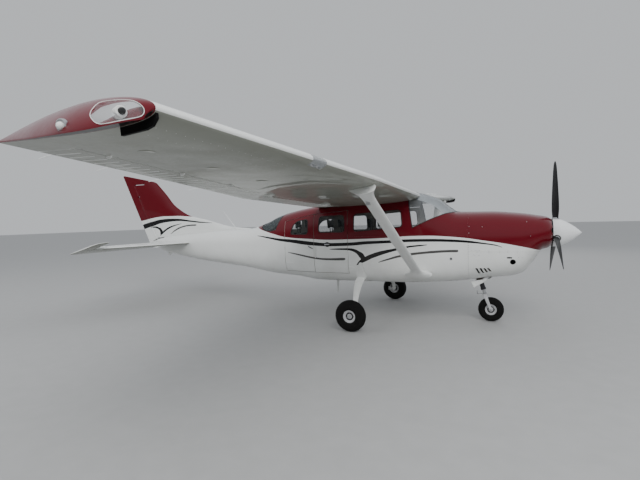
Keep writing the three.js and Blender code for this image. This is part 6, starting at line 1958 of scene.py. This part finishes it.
columns = [  # name, node, station, y, width share
    ("FrontLeft", "seat_front_left", 1130, 260, 1.0), ("FrontRight", "seat_front_right", 1130, -260, 1.0),
    ("MiddleLeft", "seat_middle", 1830, 242, 1.06), ("MiddleRight", None, 1830, -242, 1.06),
    ("RearLeft", "seat_rear", 2460, 191, 0.85), ("RearRight", None, 2460, -191, 0.85),
]
for word, node, station, y, width in columns:
    move = Matrix.Translation(Vector((seatSettings["station"] - station, y, 0)) / 1000) @ Matrix.Diagonal((1, width, 1, 1))
    for kind, model in padModels.items():
        pad = copyPiece(model, f"seat{kind.capitalize()}{word}")
        pad.data.transform(move)
        finish(pad, "airframe", "seat_cloth", *([node] if node and kind == "cushion" else []))
        welt = copyPiece(weltModels[kind], f"seatWelt{kind.capitalize()}{word}")
        welt.data.transform(move)
        finish(welt, "airframe", "seat_cloth")
    half, bars = seatSettings["halfWidth"] * width, []
    for side in (-1, 1):
        across = y + side * (half - 52)
        bars.append(box("bar", (xAt(station + 215), across - 9, 700.4), (xAt(station - 205), across + 9, 712)))
        for along, top in ((-165, 893), (150, 893)):
            bars.append(tube("bar", [(xAt(station + along - 12), across, 708), (xAt(station + along), across, top)], 11, 16))
        bars.append(tube("bar", [(xAt(station - 190), across, 884), (xAt(station + 200), across, 882)], 9, 16))
        bars.append(tube("bar", [(xAt(station + 322), y + side * 46, 1340), (xAt(station + 334), y + side * 46, 1420)], 7, 12))
    finish(join("seatFrame" + word, bars, darkAndShade), "airframe", "steel")
for model in [*padModels.values(), *weltModels.values()]:
    remove(model)

print("whip aerial")
whipBars = [
    tube("bar", [(xAt(4155), -75, 1396), (xAt(4300), -75, 1564), (xAt(4472), -75, 1768)], [6, 4.5, 3], 12),
    tube("bar", [(xAt(4142), -75, 1388), (xAt(4160), -75, 1408)], [15, 9], 16),
]
finish(join("whipAerial", whipBars, gearPaint), "airframe", "steel", "antenna_whip")

print("instruments")
panelSettings = {"x": xAt(425), "dialRadius": 38, "dialColumns": (-390, -300, -210, 120, 210, 300, 390, 470),
                 "dialRows": (1300, 1400), "knobColumns": (-60, -30, 0, 30, 60), "knobRows": (1245, 1262)}
panelX, rimRadius = panelSettings["x"], panelSettings["dialRadius"] + 2
dials, bezels = [], []
for y in panelSettings["dialColumns"]:
    for height in panelSettings["dialRows"]:
        dials.append(((panelX - 0.1, y, height), (-1, 0, 0)))
        bezels.append([(panelX - 3, y + rimRadius * math.cos(turn), height + rimRadius * math.sin(turn))
                       for turn in np.linspace(0, 2 * math.pi, 25)])
knobs = [((panelX - 0.1, y, height), (-1, 0, 0)) for y in panelSettings["knobColumns"] for height in panelSettings["knobRows"]]
finish(placeHeads("panelDials", dials, dialGrey, panelSettings["dialRadius"], 3, 28, 0.97), "airframe", "panel_plastic")
finish(placeBeads("panelBezels", bezels, steelBright, 2.2, 6), "airframe", "panel_plastic")
finish(placeHeads("panelKnobs", knobs, steelBright, 8, 16, 10, 0.85), "airframe", "panel_plastic")
stack = [box("bar", (xAt(429), -78, low), (panelX - 0.2, 78, low + 38)) for low in (1290, 1334, 1378, 1422)]
finish(join("radioStack", stack, dialGrey), "airframe", "panel_plastic")

print("carried-over parts")
for node, material in (("firewall", steelBright), ("engine_block", engineCast), ("exhaust_stack", exhaustSteel),
                       ("instrument_panel", panelBlack), ("axle_left", steelBright), ("axle_right", steelBright),
                       ("antenna_belly", gearPaint)):
    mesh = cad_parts[node].data
    mesh.materials.clear()
    mesh.materials.append(material)

print("finished pieces", len(finished))
